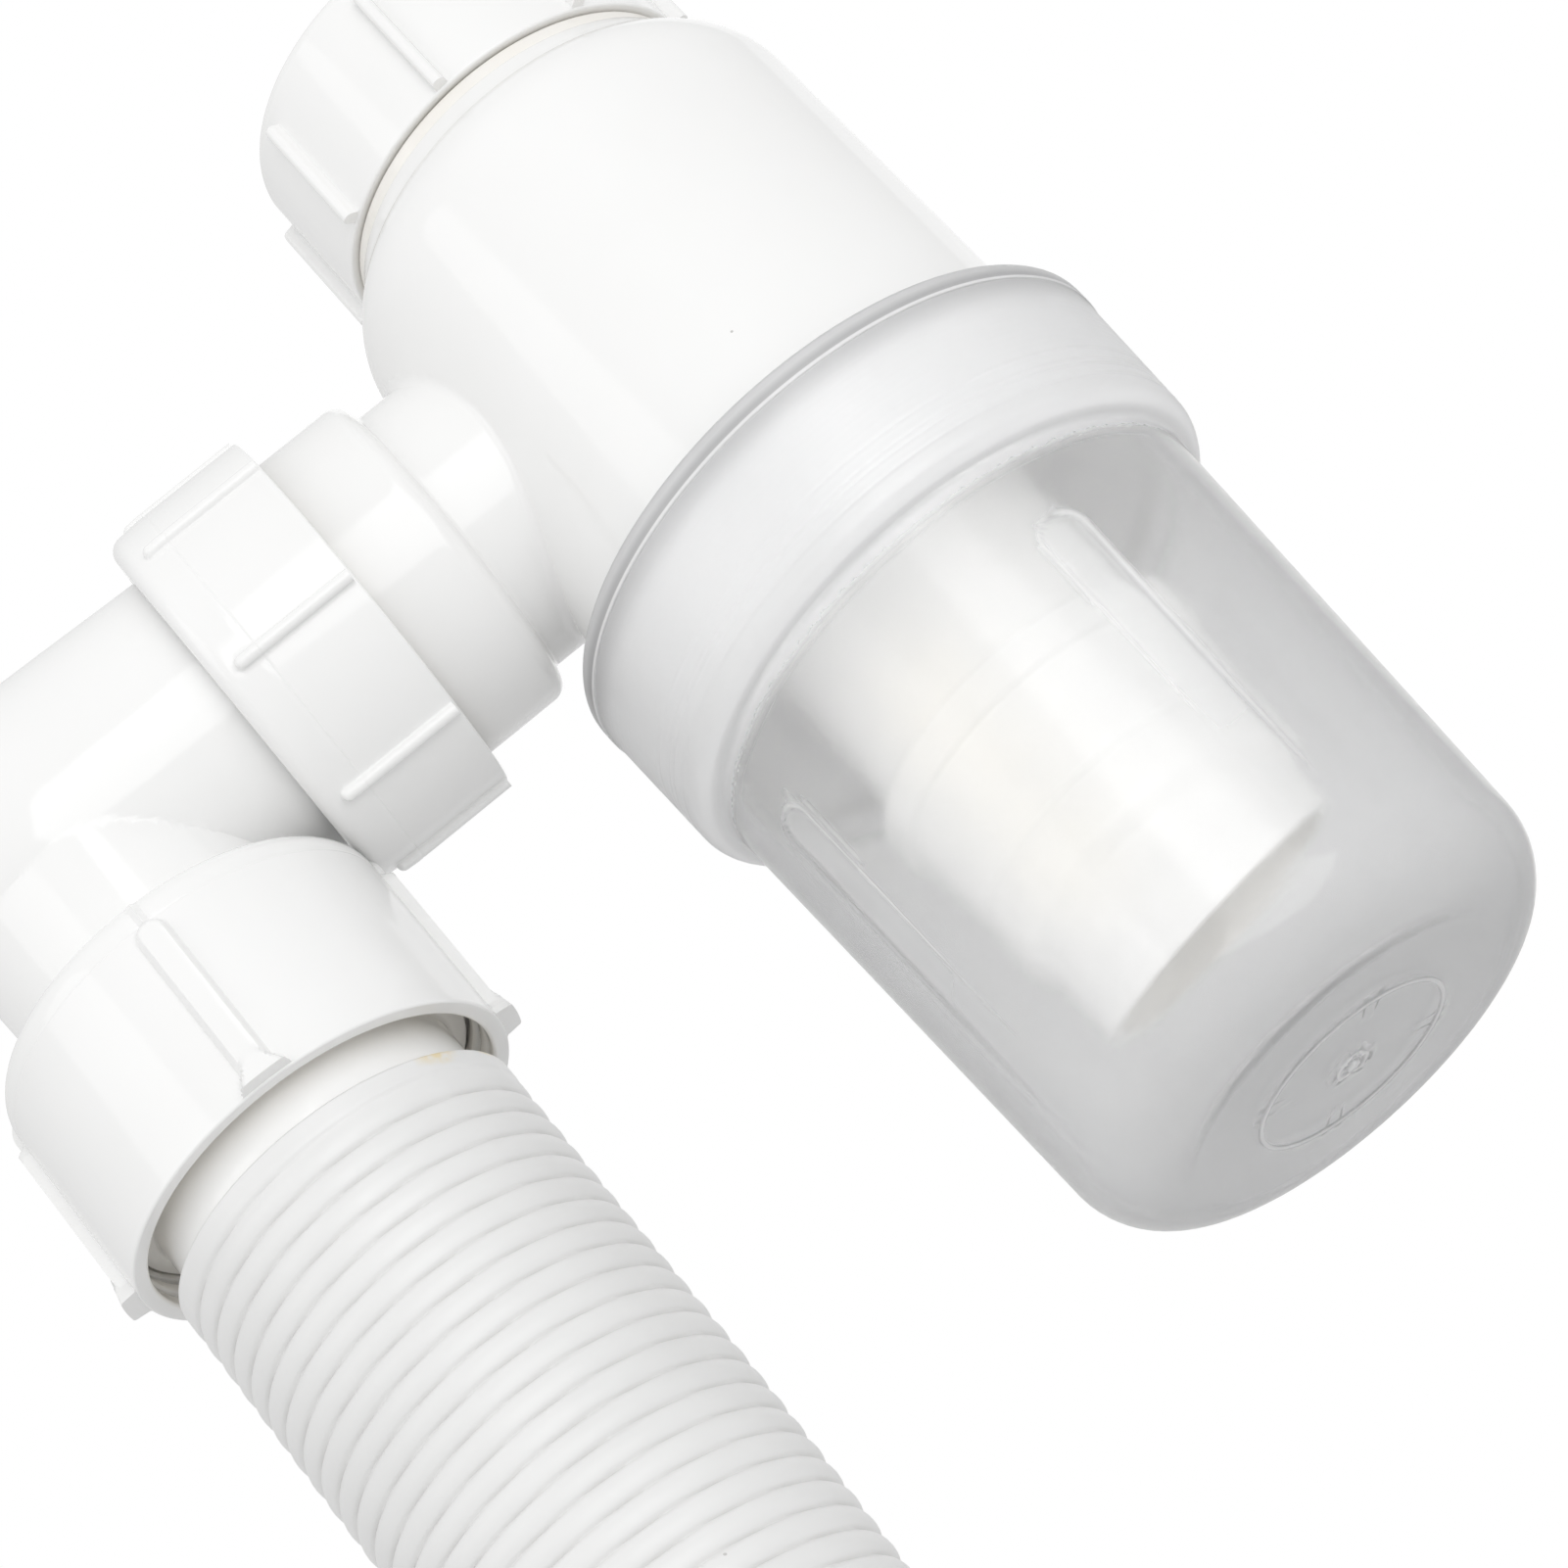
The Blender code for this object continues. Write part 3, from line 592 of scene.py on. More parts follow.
def frosted_plastic():
    """Hazy see-through plastic with milky clouding and uneven frosting.

    It is whiter at the edges, partly by painted highlights, darker where it is seen aslant, has painted shade
    at the rim, and has turning marks round the collar.
    """
    paint = Paint("frosted_clear", ior=1.45)
    cloud = paint.noise(70.0, 3.0)
    colour = paint.ramp(cloud, (0.3, (0.955, 0.957, 0.96)), (0.7, (0.98, 0.98, 0.982)))
    aslant = paint.node("LayerWeight", Blend=0.5).outputs["Facing"]
    thick = paint.ramp(
        aslant,
        (0.42, (1.0, 1.0, 1.0)),
        (0.66, (0.92, 0.92, 0.925)),
        (0.86, (0.64, 0.64, 0.645)),
        (1.0, (0.32, 0.32, 0.325)),
    )
    collar = paint.mask("collar")
    # Painted shade at the rim and the step's corner, and a darkening towards the floor.
    rim = paint.mask("rim")
    seen_aslant = paint.span(collar, 0.0, 1.0, 1.0, 0.4)
    colour = paint.mix(seen_aslant, paint.specks(colour, 170.0, 0.04, 0.04), thick, "MULTIPLY")
    paint.feed("Base Color", paint.mix(paint.math("MULTIPLY", rim, 0.9), colour, (0.34, 0.34, 0.345, 1.0)))
    # Less clear, so whiter: frosting in the flutes and under the floor, and painted highlights at the flutes'
    # edges, the step and the rim's lip.
    edge = paint.mask("edge")
    clear = paint.span(cloud, 0.3, 0.7, 0.79, 0.83)
    clear = paint.math("SUBTRACT", clear, paint.math("MULTIPLY", collar, 0.32))
    paint.feed("Transmission Weight", paint.math("SUBTRACT", clear, paint.math("MULTIPLY", edge, 0.5)))
    frost = paint.noise(900.0, 3.0)
    frosting = paint.span(frost, 0.3, 0.7, 0.11, 0.17)
    paint.feed("Roughness", paint.math("ADD", frosting, paint.math("MULTIPLY", collar, 0.2)))
    rings = paint.noise(1.0, 4.0, paint.stretched(2.0, 2.0, 1500.0))
    turned_marks = paint.bump(paint.math("MULTIPLY", rings, collar), 0.10, 0.0001)
    frost = paint.math("MULTIPLY", frost, paint.span(collar, 0.0, 1.0, 1.0, 0.0))
    paint.feed("Normal", paint.bump(frost, 0.06, 0.00008, turned_marks))
    return paint.material


def rubber():
    """Pale moulded rubber with a dusty bloom."""
    paint = Paint("seal_rubber", ior=1.52)
    colour = paint.ramp(paint.noise(180.0, 4.0), (0.35, (0.70, 0.70, 0.685)), (0.75, (0.78, 0.78, 0.765)))
    paint.feed("Base Color", colour)
    grain = paint.noise(3000.0, 2.0)
    paint.feed("Roughness", paint.span(grain, 0.3, 0.7, 0.62, 0.82))
    paint.feed("Normal", paint.bump(grain, 0.2, 0.0001))
    return paint.material


def pale_floor():
    paint = Paint("pale_floor", ior=1.45)
    colour = paint.ramp(paint.noise(3.0, 4.0), (0.3, (0.80, 0.80, 0.80)), (0.7, (0.84, 0.84, 0.84)))
    paint.feed("Base Color", colour)
    paint.feed("Roughness", paint.span(paint.noise(40.0, 3.0), 0.3, 0.7, 0.55, 0.7))
    return paint.material


# The gloss warm colour is a painted warm shade in recesses; the satin one is the dip tube's yellowing.
gloss = white_plastic(
    "gloss_white",
    light=(0.905, 0.905, 0.90),
    dark=(0.885, 0.885, 0.878),
    warm=(0.87, 0.84, 0.78),
    rough=(0.05, 0.11),
    grain=0.03,
)
satin = white_plastic(
    "soft_white",
    light=(0.905, 0.902, 0.89),
    dark=(0.885, 0.882, 0.87),
    warm=(0.95, 0.925, 0.865),
    rough=(0.20, 0.30),
    grain=0.06,
)
ribbed = hose_plastic()
frosted = frosted_plastic()
pale = rubber()


# The body: a turned shell with a branch for the outlet


def body_radius(z):
    return BODY_R + BODY_TAPER * unit((SHOULDER_Z - z) / BODY_TAPER_H)


def outlet_branch():
    """The outlet's thread, rounded collar and neck, with a rolling-ball fillet where it meets the body."""
    tip, thread_low, collar_low, neck_top, neck_low = 58.1, 51.3, 36.6, 35.6, 34.6
    branch = soften(
        [
            (THREAD_R, tip, 0.5),
            (THREAD_R, thread_low, 0.2),
            (NECK_COLLAR_R, thread_low, 0.2),
            (NECK_COLLAR_R, collar_low, 4.2),
            (NECK_R, neck_top, 0.6),
            (NECK_R, neck_low, 0.0),
        ],
        closed=False,
    )
    rows = np.arange(51.5, 57.9, PIPE_THREAD_PITCH / 8)
    branch = fill(branch, 1.2, rows, THREAD_ROWS_R, closed=False)
    push = screw_thread(THREAD_R, 51.4, 57.8, PIPE_THREAD_PITCH, THREAD_LIFT)
    grid = turn(branch, ROUND, push)
    ball = NECK_FILLET
    sin_a, cos_a = np.sin(ROUND), np.cos(ROUND)
    up, side = (NECK_R + ball) * sin_a, -(NECK_R + ball) * cos_a
    radius = body_radius(OUTLET_Z + up)
    depth = np.sqrt((radius + ball) ** 2 - side**2)
    middle = np.stack([up, side, depth], -1)
    to_neck = np.stack([-sin_a, cos_a, np.zeros_like(sin_a)], -1)
    to_body = -np.stack([np.zeros_like(side), side, depth], -1) / (radius + ball)[:, None]
    turn_by = np.arccos(np.clip((to_neck * to_body).sum(-1), -1, 1))[:, None]
    strips = [middle + ball * to_neck]
    for t in np.linspace(0, 1, 7)[1:]:
        blend = (np.sin((1 - t) * turn_by) * to_neck + np.sin(t * turn_by) * to_body) / np.sin(turn_by)
        strips.append(middle + ball * blend)
    outwards = np.stack([sin_a, -cos_a, np.zeros_like(sin_a)], -1)
    strips.append(strips[-1] + 0.9 * outwards + 0.6 * to_body)
    strips.append(np.stack([NECK_R * sin_a, -NECK_R * cos_a, np.full_like(sin_a, 22.0)], -1))
    between = [grid[-1] * (1 - t) + strips[0] * t for t in (0.33, 0.66)]
    grid = np.concatenate([grid, np.stack(between), np.stack(strips)])
    return skin("outlet_branch", grid, on_outlet, closed=False)


def make_body():
    shoulder = dome(SHOULDER_MIDDLE_R, SHOULDER_Z, SHOULDER_R, np.arange(40.0, 90.1, 2.5))
    neck = [
        (0.0, MOUTH_Z, 0.0),
        (THREAD_R, MOUTH_Z, 0.5),
        (THREAD_R, -20.95, 0.1),
        (GAP_RING_R, -21.05, 0.2),
        (GAP_RING_R, -23.1, 0.2),
        (25.0, -23.2, 0.4),
    ]
    skirt = [
        (BODY_R + BODY_TAPER, -83.9, 0.4),
        (SKIRT_R, SKIRT_TOP_Z, 0.4),
        (SKIRT_R, SKIRT_Z, 0.5),
        (0.0, SKIRT_Z, 0.0),
    ]
    outer = soften(neck + [(r, z, 0.0) for r, z in shoulder] + skirt, closed=False)
    thread_rows = np.arange(-23.5, -10.0, PIPE_THREAD_PITCH / 8)
    skirt_rows = np.arange(SKIRT_Z + 0.6, -86.4, CUP_THREAD_PITCH / 10)
    outer = fill(outer, 1.6, [*thread_rows, *skirt_rows], THREAD_ROWS_R, closed=False)[1:-1]
    push = together(
        screw_thread(THREAD_R, -21.5, MOUTH_Z - 0.4, PIPE_THREAD_PITCH, THREAD_LIFT),
        screw_thread(SKIRT_R, SKIRT_Z + 0.4, -87.0, CUP_THREAD_PITCH, THREAD_LIFT),
    )
    body = skin("trap_body_shell", turn(outer, ROUND, push), on_body, closed=False)

    top = dome(SHOULDER_MIDDLE_R, SHOULDER_Z, CAVITY_SHOULDER_R, range(15, 91, 5))
    cavity = [(21.7, -27.5), *top, (29.6, SKIRT_TOP_Z), (CAVITY_R, -88.8), (CAVITY_R, -103.0)]
    socket = [(20.3, -7.0), (20.3, -24.5), (18.7, -24.5), (18.7, -30.0)]
    bore = [(20.1, 60.5), (20.1, 42.8), (16.0, 42.8), (16.0, 18.4)]
    carve(
        body,
        ("UNION", outlet_branch()),
        ("DIFFERENCE", cutter("cavity", cavity, on_body)),
        ("DIFFERENCE", cutter("socket", socket, on_body)),
        ("DIFFERENCE", cutter("bore", bore, on_outlet)),
    )

    # Painted warm shade in the gap under the inlet nut and on the outlet's thread inside its nut.
    def painted_shade_and_yellowing(x, y, z):
        neck = 0.7 * unit((z - NECK_LOW_Z) / 0.5) * unit((25.2 - np.hypot(x, y)) / 0.5)
        far = np.hypot(y, z - OUTLET_Z)
        thread = unit((-x - 50.9) / 0.4) * unit(26.0 - far)
        return np.maximum(neck, thread)

    mark(body, "painted_shade_and_yellowing", painted_shade_and_yellowing)
    wear(body, gloss, "body", "trap_body")


# The nuts

THIN_RIB = mirrored([0.0, 0.3, 0.55, 0.7, 0.78, 0.8, 0.83, 0.9, 1.05, 1.5])
BROAD_RIB = mirrored([0.0, 0.7, 1.1, 1.35, 1.6, 1.85, 2.1, 2.35, 2.6, 2.8, 3.0, 3.2, 3.6])


def rib_rows(foot, length, width):
    """Heights of rows at a rib's foot and round its upper end."""
    half = width / 2
    ends = [0.0, 0.35, 0.6, 0.78, 0.88, 0.95, 1.0, 1.04, 1.15, 1.35]
    return [foot - 0.02, foot, *[foot + length - half + half * e for e in ends]]


def rib_angles(first, count, offsets):
    return angles_for(first, count, np.degrees(np.array(offsets) / NUT_R))


def in_nut(far, past, wall_r=24.2, soft=0.8):
    """A mask of painted warm shade for a nut's inside, from the distance to its axis and the way in past its
    lid.
    """
    return unit((wall_r - far) / soft) * unit(past)


def nut_corners(top, height, hole_r, lid_corners):
    return [
        (hole_r, top, 0.35),
        *lid_corners,
        (NUT_R, top - height, 0.3),
        (NUT_BORE_R, top - height, 0.45),
        (NUT_BORE_R, top - NUT_LID, 0.2),
        (hole_r, top - NUT_LID, 0.2),
    ]


def make_nut(name, place, top, height, hole_r, lid_corners, ribs, angles, stops, extra=()):
    low = top - height
    bore_rows = np.arange(low + 0.6, top - NUT_LID - 0.4, PIPE_THREAD_PITCH / 6)
    profile = fill(soften(nut_corners(top, height, hole_r, lid_corners)), 2.2, stops, NUT_R - 2.5)
    walls = []
    for (r0, z0), (r1, z1) in zip(profile, profile[1:] + profile[:1]):
        walls.append((r0, z0))
        if abs(r0 - NUT_BORE_R) < 0.01 and abs(r1 - NUT_BORE_R) < 0.01:
            rows = sorted(z for z in bore_rows if min(z0, z1) < z < max(z0, z1))
            walls += [(NUT_BORE_R, z) for z in (rows[::-1] if z1 < z0 else rows)]
    groove = screw_thread(NUT_BORE_R, low + 0.3, top - NUT_LID, PIPE_THREAD_PITCH, NUT_GROOVE)
    return skin(name, turn(walls, angles, together(ribs, groove, *extra)), place)


def make_inlet_nut():
    first, foot, length = -9.0, -20.5, 17.0
    nut = make_nut(
        "inlet_nut_shell",
        on_body,
        top=0.0,
        height=20.8,
        hole_r=20.6,
        lid_corners=[(NUT_R, 0.0, 1.8)],
        ribs=round_ribs(first, THIN_RIBS, NUT_R, foot, length, 1.8, THIN_RIB_W),
        angles=rib_angles(first, THIN_RIBS, THIN_RIB),
        stops=rib_rows(foot, length, THIN_RIB_W),
    )
    mark(nut, "painted_shade_and_yellowing", lambda x, y, z: in_nut(np.hypot(x, y), -z - 3.2))
    wear(nut, gloss, "inlet_nut", "inlet_nut")


def make_outlet_nut():
    first, foot, length = 26.0, 48.6, 16.2
    top, line = 67.6, 62.5
    nut = make_nut(
        "outlet_nut_shell",
        on_outlet,
        top=top,
        height=19.3,
        hole_r=20.4,
        lid_corners=[(24.75, top, 2.2), (NUT_R, line, 3.0)],
        ribs=round_ribs(first, THIN_RIBS, NUT_R, foot, length, 1.1, THIN_RIB_W),
        angles=rib_angles(first, THIN_RIBS, THIN_RIB),
        stops=[*rib_rows(foot, length, THIN_RIB_W), *[line - d for d in (0.5, 0.68, 0.84, 1.0, 1.2)]],
        extra=[hairline(NUT_R, line - 0.84)],
    )
    mark(nut, "painted_shade_and_yellowing", lambda x, y, z: in_nut(np.hypot(y, z - OUTLET_Z), x + 64.4))
    wear(nut, gloss, "outlet_nut", "outlet_nut")


def make_hose_nut():
    top, height = HOSE_NUT_TOP, 28.4
    first, foot, length = 4.0, top - height + 0.3, 23.9
    nub = (27.2, 5.8, 5.0)
    line = top - 4.1
    nut = make_nut(
        "hose_nut_shell",
        on_leg,
        top=top,
        height=height,
        hole_r=18.6,
        lid_corners=[(NUT_R, top, 4.0)],
        ribs=tongue_ribs(first, BROAD_RIBS, NUT_R, foot, length, 1.3, BROAD_RIB_W, nub),
        angles=rib_angles(first, BROAD_RIBS, BROAD_RIB),
        stops=[
            *rib_rows(foot, length, BROAD_RIB_W),
            *[foot + 0.5 * k for k in range(1, 12)],
            *[line + d for d in (-0.4, -0.16, 0.0, 0.16)],
        ],
        extra=[hairline(NUT_R, line, 0.05)],
    )
    mark(nut, "painted_shade_and_yellowing", lambda x, y, z: in_nut(np.hypot(x - LEG_X, y), -80.4 - z, 23.5, 0.5))
    wear(nut, gloss, "hose_nut", "hose_nut")


# The elbow, the adapter and the hose


def make_elbow():
    bend = dome(0.0, -LEG_X, BEND_R, np.arange(2.0, 90.1, 2.5))
    pipe = fill([*bend, (PIPE_R, 67.6), (PIPE_R, 43.6), (19.3, 43.1)], 1.6, closed=False)
    elbow = skin("elbow_shell", turn(pipe), on_outlet, closed=False)
    leg = soften(
        [
            (19.4, OUTLET_Z, 0.0),
            (LEG_R, HOSE_NUT_TOP, 2.0),
            (LEG_R, LEG_LOW_Z, 0.6),
            (14.0, LEG_LOW_Z, 0.0),
        ],
        closed=False,
    )
    leg = skin("elbow_leg", turn(fill(leg, 1.6, closed=False)), on_leg, closed=False)
    hollow = dome(0.0, -LEG_X, PIPE_BORE_R, np.arange(3.0, 90.1, 6.0))
    carve(
        elbow,
        ("UNION", leg),
        ("DIFFERENCE", cutter("pipe_bore", [*hollow, (PIPE_BORE_R, 41.0)], on_outlet)),
        ("DIFFERENCE", cutter("leg_bore", [(LEG_BORE_R, OUTLET_Z), (LEG_BORE_R, -99.7)], on_leg)),
    )
    # Painted warm shade on the pipe's end inside the outlet nut.
    mark(elbow, "painted_shade_and_yellowing", lambda x, y, z: unit((x + 66.9) / 0.5))
    wear(elbow, gloss, "elbow", "elbow", sharp=62.0)


def make_adapter():
    top, thread_low, ledge, low = -86.7, -100.7, -98.0, -109.9
    profile = soften(
        [
            (THREAD_R, top, 0.5),
            (THREAD_R, thread_low, 0.4),
            (20.0, -101.6, 0.8),
            (20.0, low, 0.4),
            (17.4, low, 0.3),
            (17.4, ledge, 0.2),
            (18.3, ledge, 0.2),
            (18.3, top, 0.3),
        ]
    )
    profile = fill(profile, 1.6, np.arange(-100.4, -87.0, PIPE_THREAD_PITCH / 8), THREAD_ROWS_R)
    push = screw_thread(THREAD_R, -100.6, -86.9, PIPE_THREAD_PITCH, THREAD_LIFT)
    adapter = skin("hose_adapter_shell", turn(profile, ROUND, push), on_leg)
    # Painted warm shade on the adapter inside the hose nut, down to its mouth.
    mark(adapter, "painted_shade_and_yellowing", lambda x, y, z: 0.55 * unit((z + 107.0) / 3.0))
    wear(adapter, gloss, "hose", "hose_adapter")


def hose_path(steps):
    """Points along a smooth curve through the route, with their distances from its start."""
    route = np.array(HOSE_ROUTE)
    ends = np.vstack([2 * route[0] - route[1], route, 2 * route[-1] - route[-2]])
    points = []
    for i in range(len(route) - 1):
        before, start, end, after = ends[i : i + 4]
        for t in np.arange(steps) / steps:
            bend = (2 * before - 5 * start + 4 * end - after) * t * t
            twist = (3 * (start - end) + after - before) * t**3
            points.append(start + (t * (end - before) + bend + twist) / 2)
    points = np.array([*points, route[-1]])
    lengths = np.concatenate([[0], np.cumsum(np.linalg.norm(np.diff(points, axis=0), axis=1))])
    return points, lengths


def make_hose():
    points, lengths = hose_path(8)
    total = lengths[-1]
    s = np.linspace(0.0, total, HOSE_RIBS * HOSE_ROWS_PER_RIB + 1)
    line = np.stack([np.interp(s, lengths, points[:, k]) for k in (0, 1)], -1)
    ahead = np.gradient(line, s, axis=0)
    ahead /= np.linalg.norm(ahead, axis=1)[:, None]
    across = np.stack([-ahead[:, 1], ahead[:, 0]], -1)
    angles = 2 * math.pi * np.arange(HOSE_AROUND) / HOSE_AROUND
    pitch = total / HOSE_RIBS
    phase = (s[:, None] / pitch + angles[None, :] / (2 * math.pi) + 0.35) % 1.0
    wave = np.abs(phase - 0.5) * 2
    sharp = unit((wave - 0.74) / 0.26)
    groove = 0.52 * wave**2 + 0.24 * sharp * sharp
    start = unit((s - HOSE_END) / 1.6)[:, None]
    finish = unit((total - HOSE_END - s) / 1.6)[:, None]
    sunk = groove * start * finish
    radius = HOSE_R - sunk
    radius[[0, -1]] -= 0.35
    cos_a, sin_a = np.cos(angles), np.sin(angles)

    def ring(middle, sideways, r):
        x = middle[:, None, 0] + sideways[:, None, 0] * r * cos_a
        z = middle[:, None, 1] + sideways[:, None, 1] * r * cos_a
        y = np.broadcast_to(r * sin_a, x.shape)
        return np.stack([x, y, z + HOSE_TOP], -1)

    outer = ring(line, across, radius)
    few = np.linspace(len(s) - 1, 0, 60).astype(int)
    inner = ring(line[few], across[few], np.full((len(few), 1), HOSE_BORE_R))
    hose = skin("ribbed_hose", np.concatenate([outer, inner]), on_leg)
    # Painted shade in the grooves, by how deep they sink.
    values = np.zeros(len(hose.data.vertices), np.float32)
    values[: sunk.size] = unit((sunk.ravel() - 0.3) / 0.4)
    hose.data.attributes.new("painted_shade_and_yellowing", "FLOAT", "POINT").data.foreach_set("value", values)

    def glue(x, y, z):
        a = np.degrees(np.arctan2(x - LEG_X, -y))
        spot = unit(1.6 - np.hypot((a - 50.0) / 5.0, (z - HOSE_TOP) / 1.3))
        smear = unit(1.5 - np.hypot((a - 76.0) / 6.0, (z - HOSE_TOP) / 0.5))
        return np.maximum(spot, smear)

    mark(hose, "glue", glue)
    wear(hose, ribbed, "hose", "hose", sharp=60.0)
    few = np.linspace(0, len(s) - 1, 81).astype(int)
    path = [((LEG_X + x) * MM, 0.0, (HOSE_TOP + z) * MM) for x, z in line[few]]
    return hose, path


def make_cuff():
    top = CUFF_TOP
    profile = soften(
        [
            (CUFF_BORE_R, top, 0.3),
            (HOSE_R, top, 0.5),
            (HOSE_R, top - 4.0, 0.5),
            (CUFF_R, top - 4.0, 0.5),
            (CUFF_R, top - 16.0, 0.0),
            (CUFF_R, top - 17.0, 0.3),
            (19.7, top - 17.4, 0.2),
            (CUFF_R, top - 17.8, 0.3),
            (CUFF_R, top - 44.0, 0.4),
            (19.0, top - 45.0, 0.3),
            (CUFF_BORE_R, top - 45.0, 0.3),
        ]
    )
    cuff = skin("hose_end_cuff_shell", turn(fill(profile, 2.0)), on_leg)
    return wear(cuff, satin, "hose", "hose_end_cuff")


# The dip tube and its end


def yellowed(x, y, z):
    """How far the tube has yellowed: all of its bore, and a patch down one side of its outside."""
    a = np.degrees(np.arctan2(x, -y))
    patch = bell(a + 30.0, 24.0) * unit((-104.0 - z) / 10.0) * unit((z + 152.0) / 10.0)
    return np.maximum(patch, unit((17.2 - np.hypot(x, y)) / 0.4))


def make_dip_tube():
    top, flange_r, flange_low = -20.7, 20.0, -22.7
    profile = soften(
        [
            (TUBE_BORE_R, top, 0.3),
            (flange_r, top, 0.3),
            (flange_r, flange_low, 0.3),
            (TUBE_R, flange_low, 0.3),
            (TUBE_R, TUBE_LOW_Z, 0.3),
            (TUBE_BORE_R, TUBE_LOW_Z, 0.3),
        ]
    )
    tube = skin("dip_tube_shell", turn(fill(profile, 3.0)), on_body)
    mark(tube, "painted_shade_and_yellowing", yellowed)
    wear(tube, satin, "body", "dip_tube")


def make_dip_tube_end():
    top, bead_r, socket_low = TUBE_END_TOP, 21.2, -129.0
    groove, groove_r = top - 16.0, 19.22
    sleeve_end = top - 24.0
    tail_end = sleeve_end - 14.0
    profile = soften(
        [
            (SLEEVE_BORE_R, top, 0.2),
            (bead_r, top, 0.8),
            (bead_r, top - 4.5, 0.6),
            (20.4, top - 4.8, 0.4),
            (SLEEVE_R, groove, 0.25),
            (groove_r, groove - 0.3, 0.25),
            (groove_r, groove - 1.0, 0.25),
            (SLEEVE_R, groove - 1.3, 0.25),
            (SLEEVE_R, sleeve_end + 0.6, 3.0),
            (TAIL_R, sleeve_end - 1.6, 3.0),
            (TAIL_R, tail_end, 0.3),
            (TAIL_BORE_R, tail_end, 0.3),
            (TAIL_BORE_R, socket_low, 0.2),
            (SLEEVE_BORE_R, socket_low, 0.2),
        ]
    )
    end = skin("dip_tube_end_shell", turn(fill(profile, 1.6)), on_body)
    reach = 60.0
    slanted = (
        Matrix.Translation((0.0, 0.0, (tail_end + TAIL_SLANT / 2) * MM))
        @ Matrix.Rotation(math.radians(TAIL_TURN), 4, "Z")
        @ Matrix.Rotation(math.atan2(TAIL_SLANT, 2 * TAIL_R), 4, "Y")
        @ Matrix.Translation((0.0, 0.0, -reach / 2 * MM))
        @ Matrix.Diagonal((2 * reach * MM, 2 * reach * MM, reach * MM, 1.0))
    )
    carve(end, ("DIFFERENCE", block("tail_cut", slanted)))
    mark(end, "painted_shade_and_yellowing", yellowed)
    wear(end, satin, "body", "dip_tube_end", sharp=32.0)


# The cup


def off_flute(z, side):
    """How far a place on the wall lies from a flute's middle line."""
    past = np.maximum(z - (FLUTE_TOP_Z - FLUTE_HALF), (FLUTE_LOW_Z + FLUTE_HALF) - z)
    return np.hypot(side, np.maximum(past, 0))


def cup_profile():
    corner_r = CUP_LOW_R - CORNER_R
    corner = arc(corner_r, WALL_LOW_Z, CORNER_R, np.arange(0.0, -90.1, -5.0))
    inner_corner = arc(corner_r, WALL_LOW_Z, CORNER_BORE_R, np.arange(-90.0, 0.1, 6.0))
    step = arc(CUP_R, STEP_Z, STEP_R, np.arange(0.0, -64.1, -8.0))
    under_step = (33.23, STEP_Z - 5.0)
    collar = [
        (COLLAR_BORE_R, RIM_Z, 0.4),
        (COLLAR_R, RIM_Z, 2.2),
        (COLLAR_R, RIM_Z - 3.0, 0.15),
        (COLLAR_LOW_R, RIM_Z - 3.1, 0.1),
    ]
    step_corners = [(r, z, 0.0) for r, z in step] + [(33.31, STEP_Z - 2.95, 0.8), (*under_step, 0.0)]
    outside = soften(collar + step_corners, closed=False)
    rim_rows = [RIM_Z - d for d in (1.4, 1.6, 1.9, 2.2, 2.5, 2.57, 2.64, 2.71, 2.78)]
    rim_rows += list(np.arange(STEP_Z, RIM_Z - 3.2, 0.17))
    outside = fill(outside, 1.2, rim_rows, 36.0, closed=False)
    ends = [-0.35, -0.15, 0.0, 0.15, 0.35, 0.6, 0.9, 1.3, 1.8, 2.4, 2.8, 3.3]
    flute_rows = [FLUTE_TOP_Z - e for e in ends] + [FLUTE_LOW_Z + e for e in ends]
    wall = fill([under_step, *corner], 1.5, flute_rows, 28.0, closed=False)[1:]
    floor = [(r, FLOOR_Z - drop) for r, drop in FLOOR_ROWS]
    inside = [(0.05, FLOOR_Z + CUP_FLOOR), (10.0, FLOOR_Z + CUP_FLOOR), *inner_corner]
    inside = fill([*inside, (CUP_BORE_R, CUP_LEDGE_Z)], 2.5, closed=False)
    inside += fill([(COLLAR_BORE_R, CUP_LEDGE_Z), (COLLAR_BORE_R, RIM_Z - 0.5)], 2.0, closed=False)
    return outside + wall + floor + inside


def cup_relief(r, z, a):
    """Sunk flutes on the wall, fine lines round the collar and the uneven gate mark under the floor."""
    wall_r = CUP_R - CUP_TAPER * unit((WALL_TOP_Z - z) / (WALL_TOP_Z - WALL_LOW_Z))
    sunk = np.zeros_like(r)
    for angle in FLUTES:
        d = off_flute(z, beside(a, angle, wall_r))
        lip = 0.04 * bell(d - FLUTE_HALF - 0.35, 0.3)
        sunk += 0.34 * ease(unit((FLUTE_HALF - d) / 1.8 + 0.4)) - lip
    sunk *= unit((z - FLUTE_LOW_Z) / FLUTE_FADE)
    on_wall = (np.abs(r - wall_r) < 0.25) & (z < WALL_TOP_Z) & (z > WALL_LOW_Z - 4.0)
    ripple = 0.004 * np.sin(7.1 * z) + 0.004 * np.sin(11.3 * z + 1.0) * np.sin(0.9 * z)
    for level in COLLAR_LINES:
        ripple -= 0.09 * bell(z - RIM_Z + level, 0.16)
    on_collar = (r > 35.0) & (z < RIM_Z - 3.3) & (z > STEP_Z)
    blob = (0.25 * np.sin(3 * a + 0.7) + 0.15 * np.sin(5 * a)) * unit(r / 1.5)
    on_gate = (z < FLOOR_Z - 0.1) & (r < 3.0)
    return np.where(on_wall, -sunk, 0.0) + np.where(on_collar, ripple, 0.0) + np.where(on_gate, blob, 0.0)


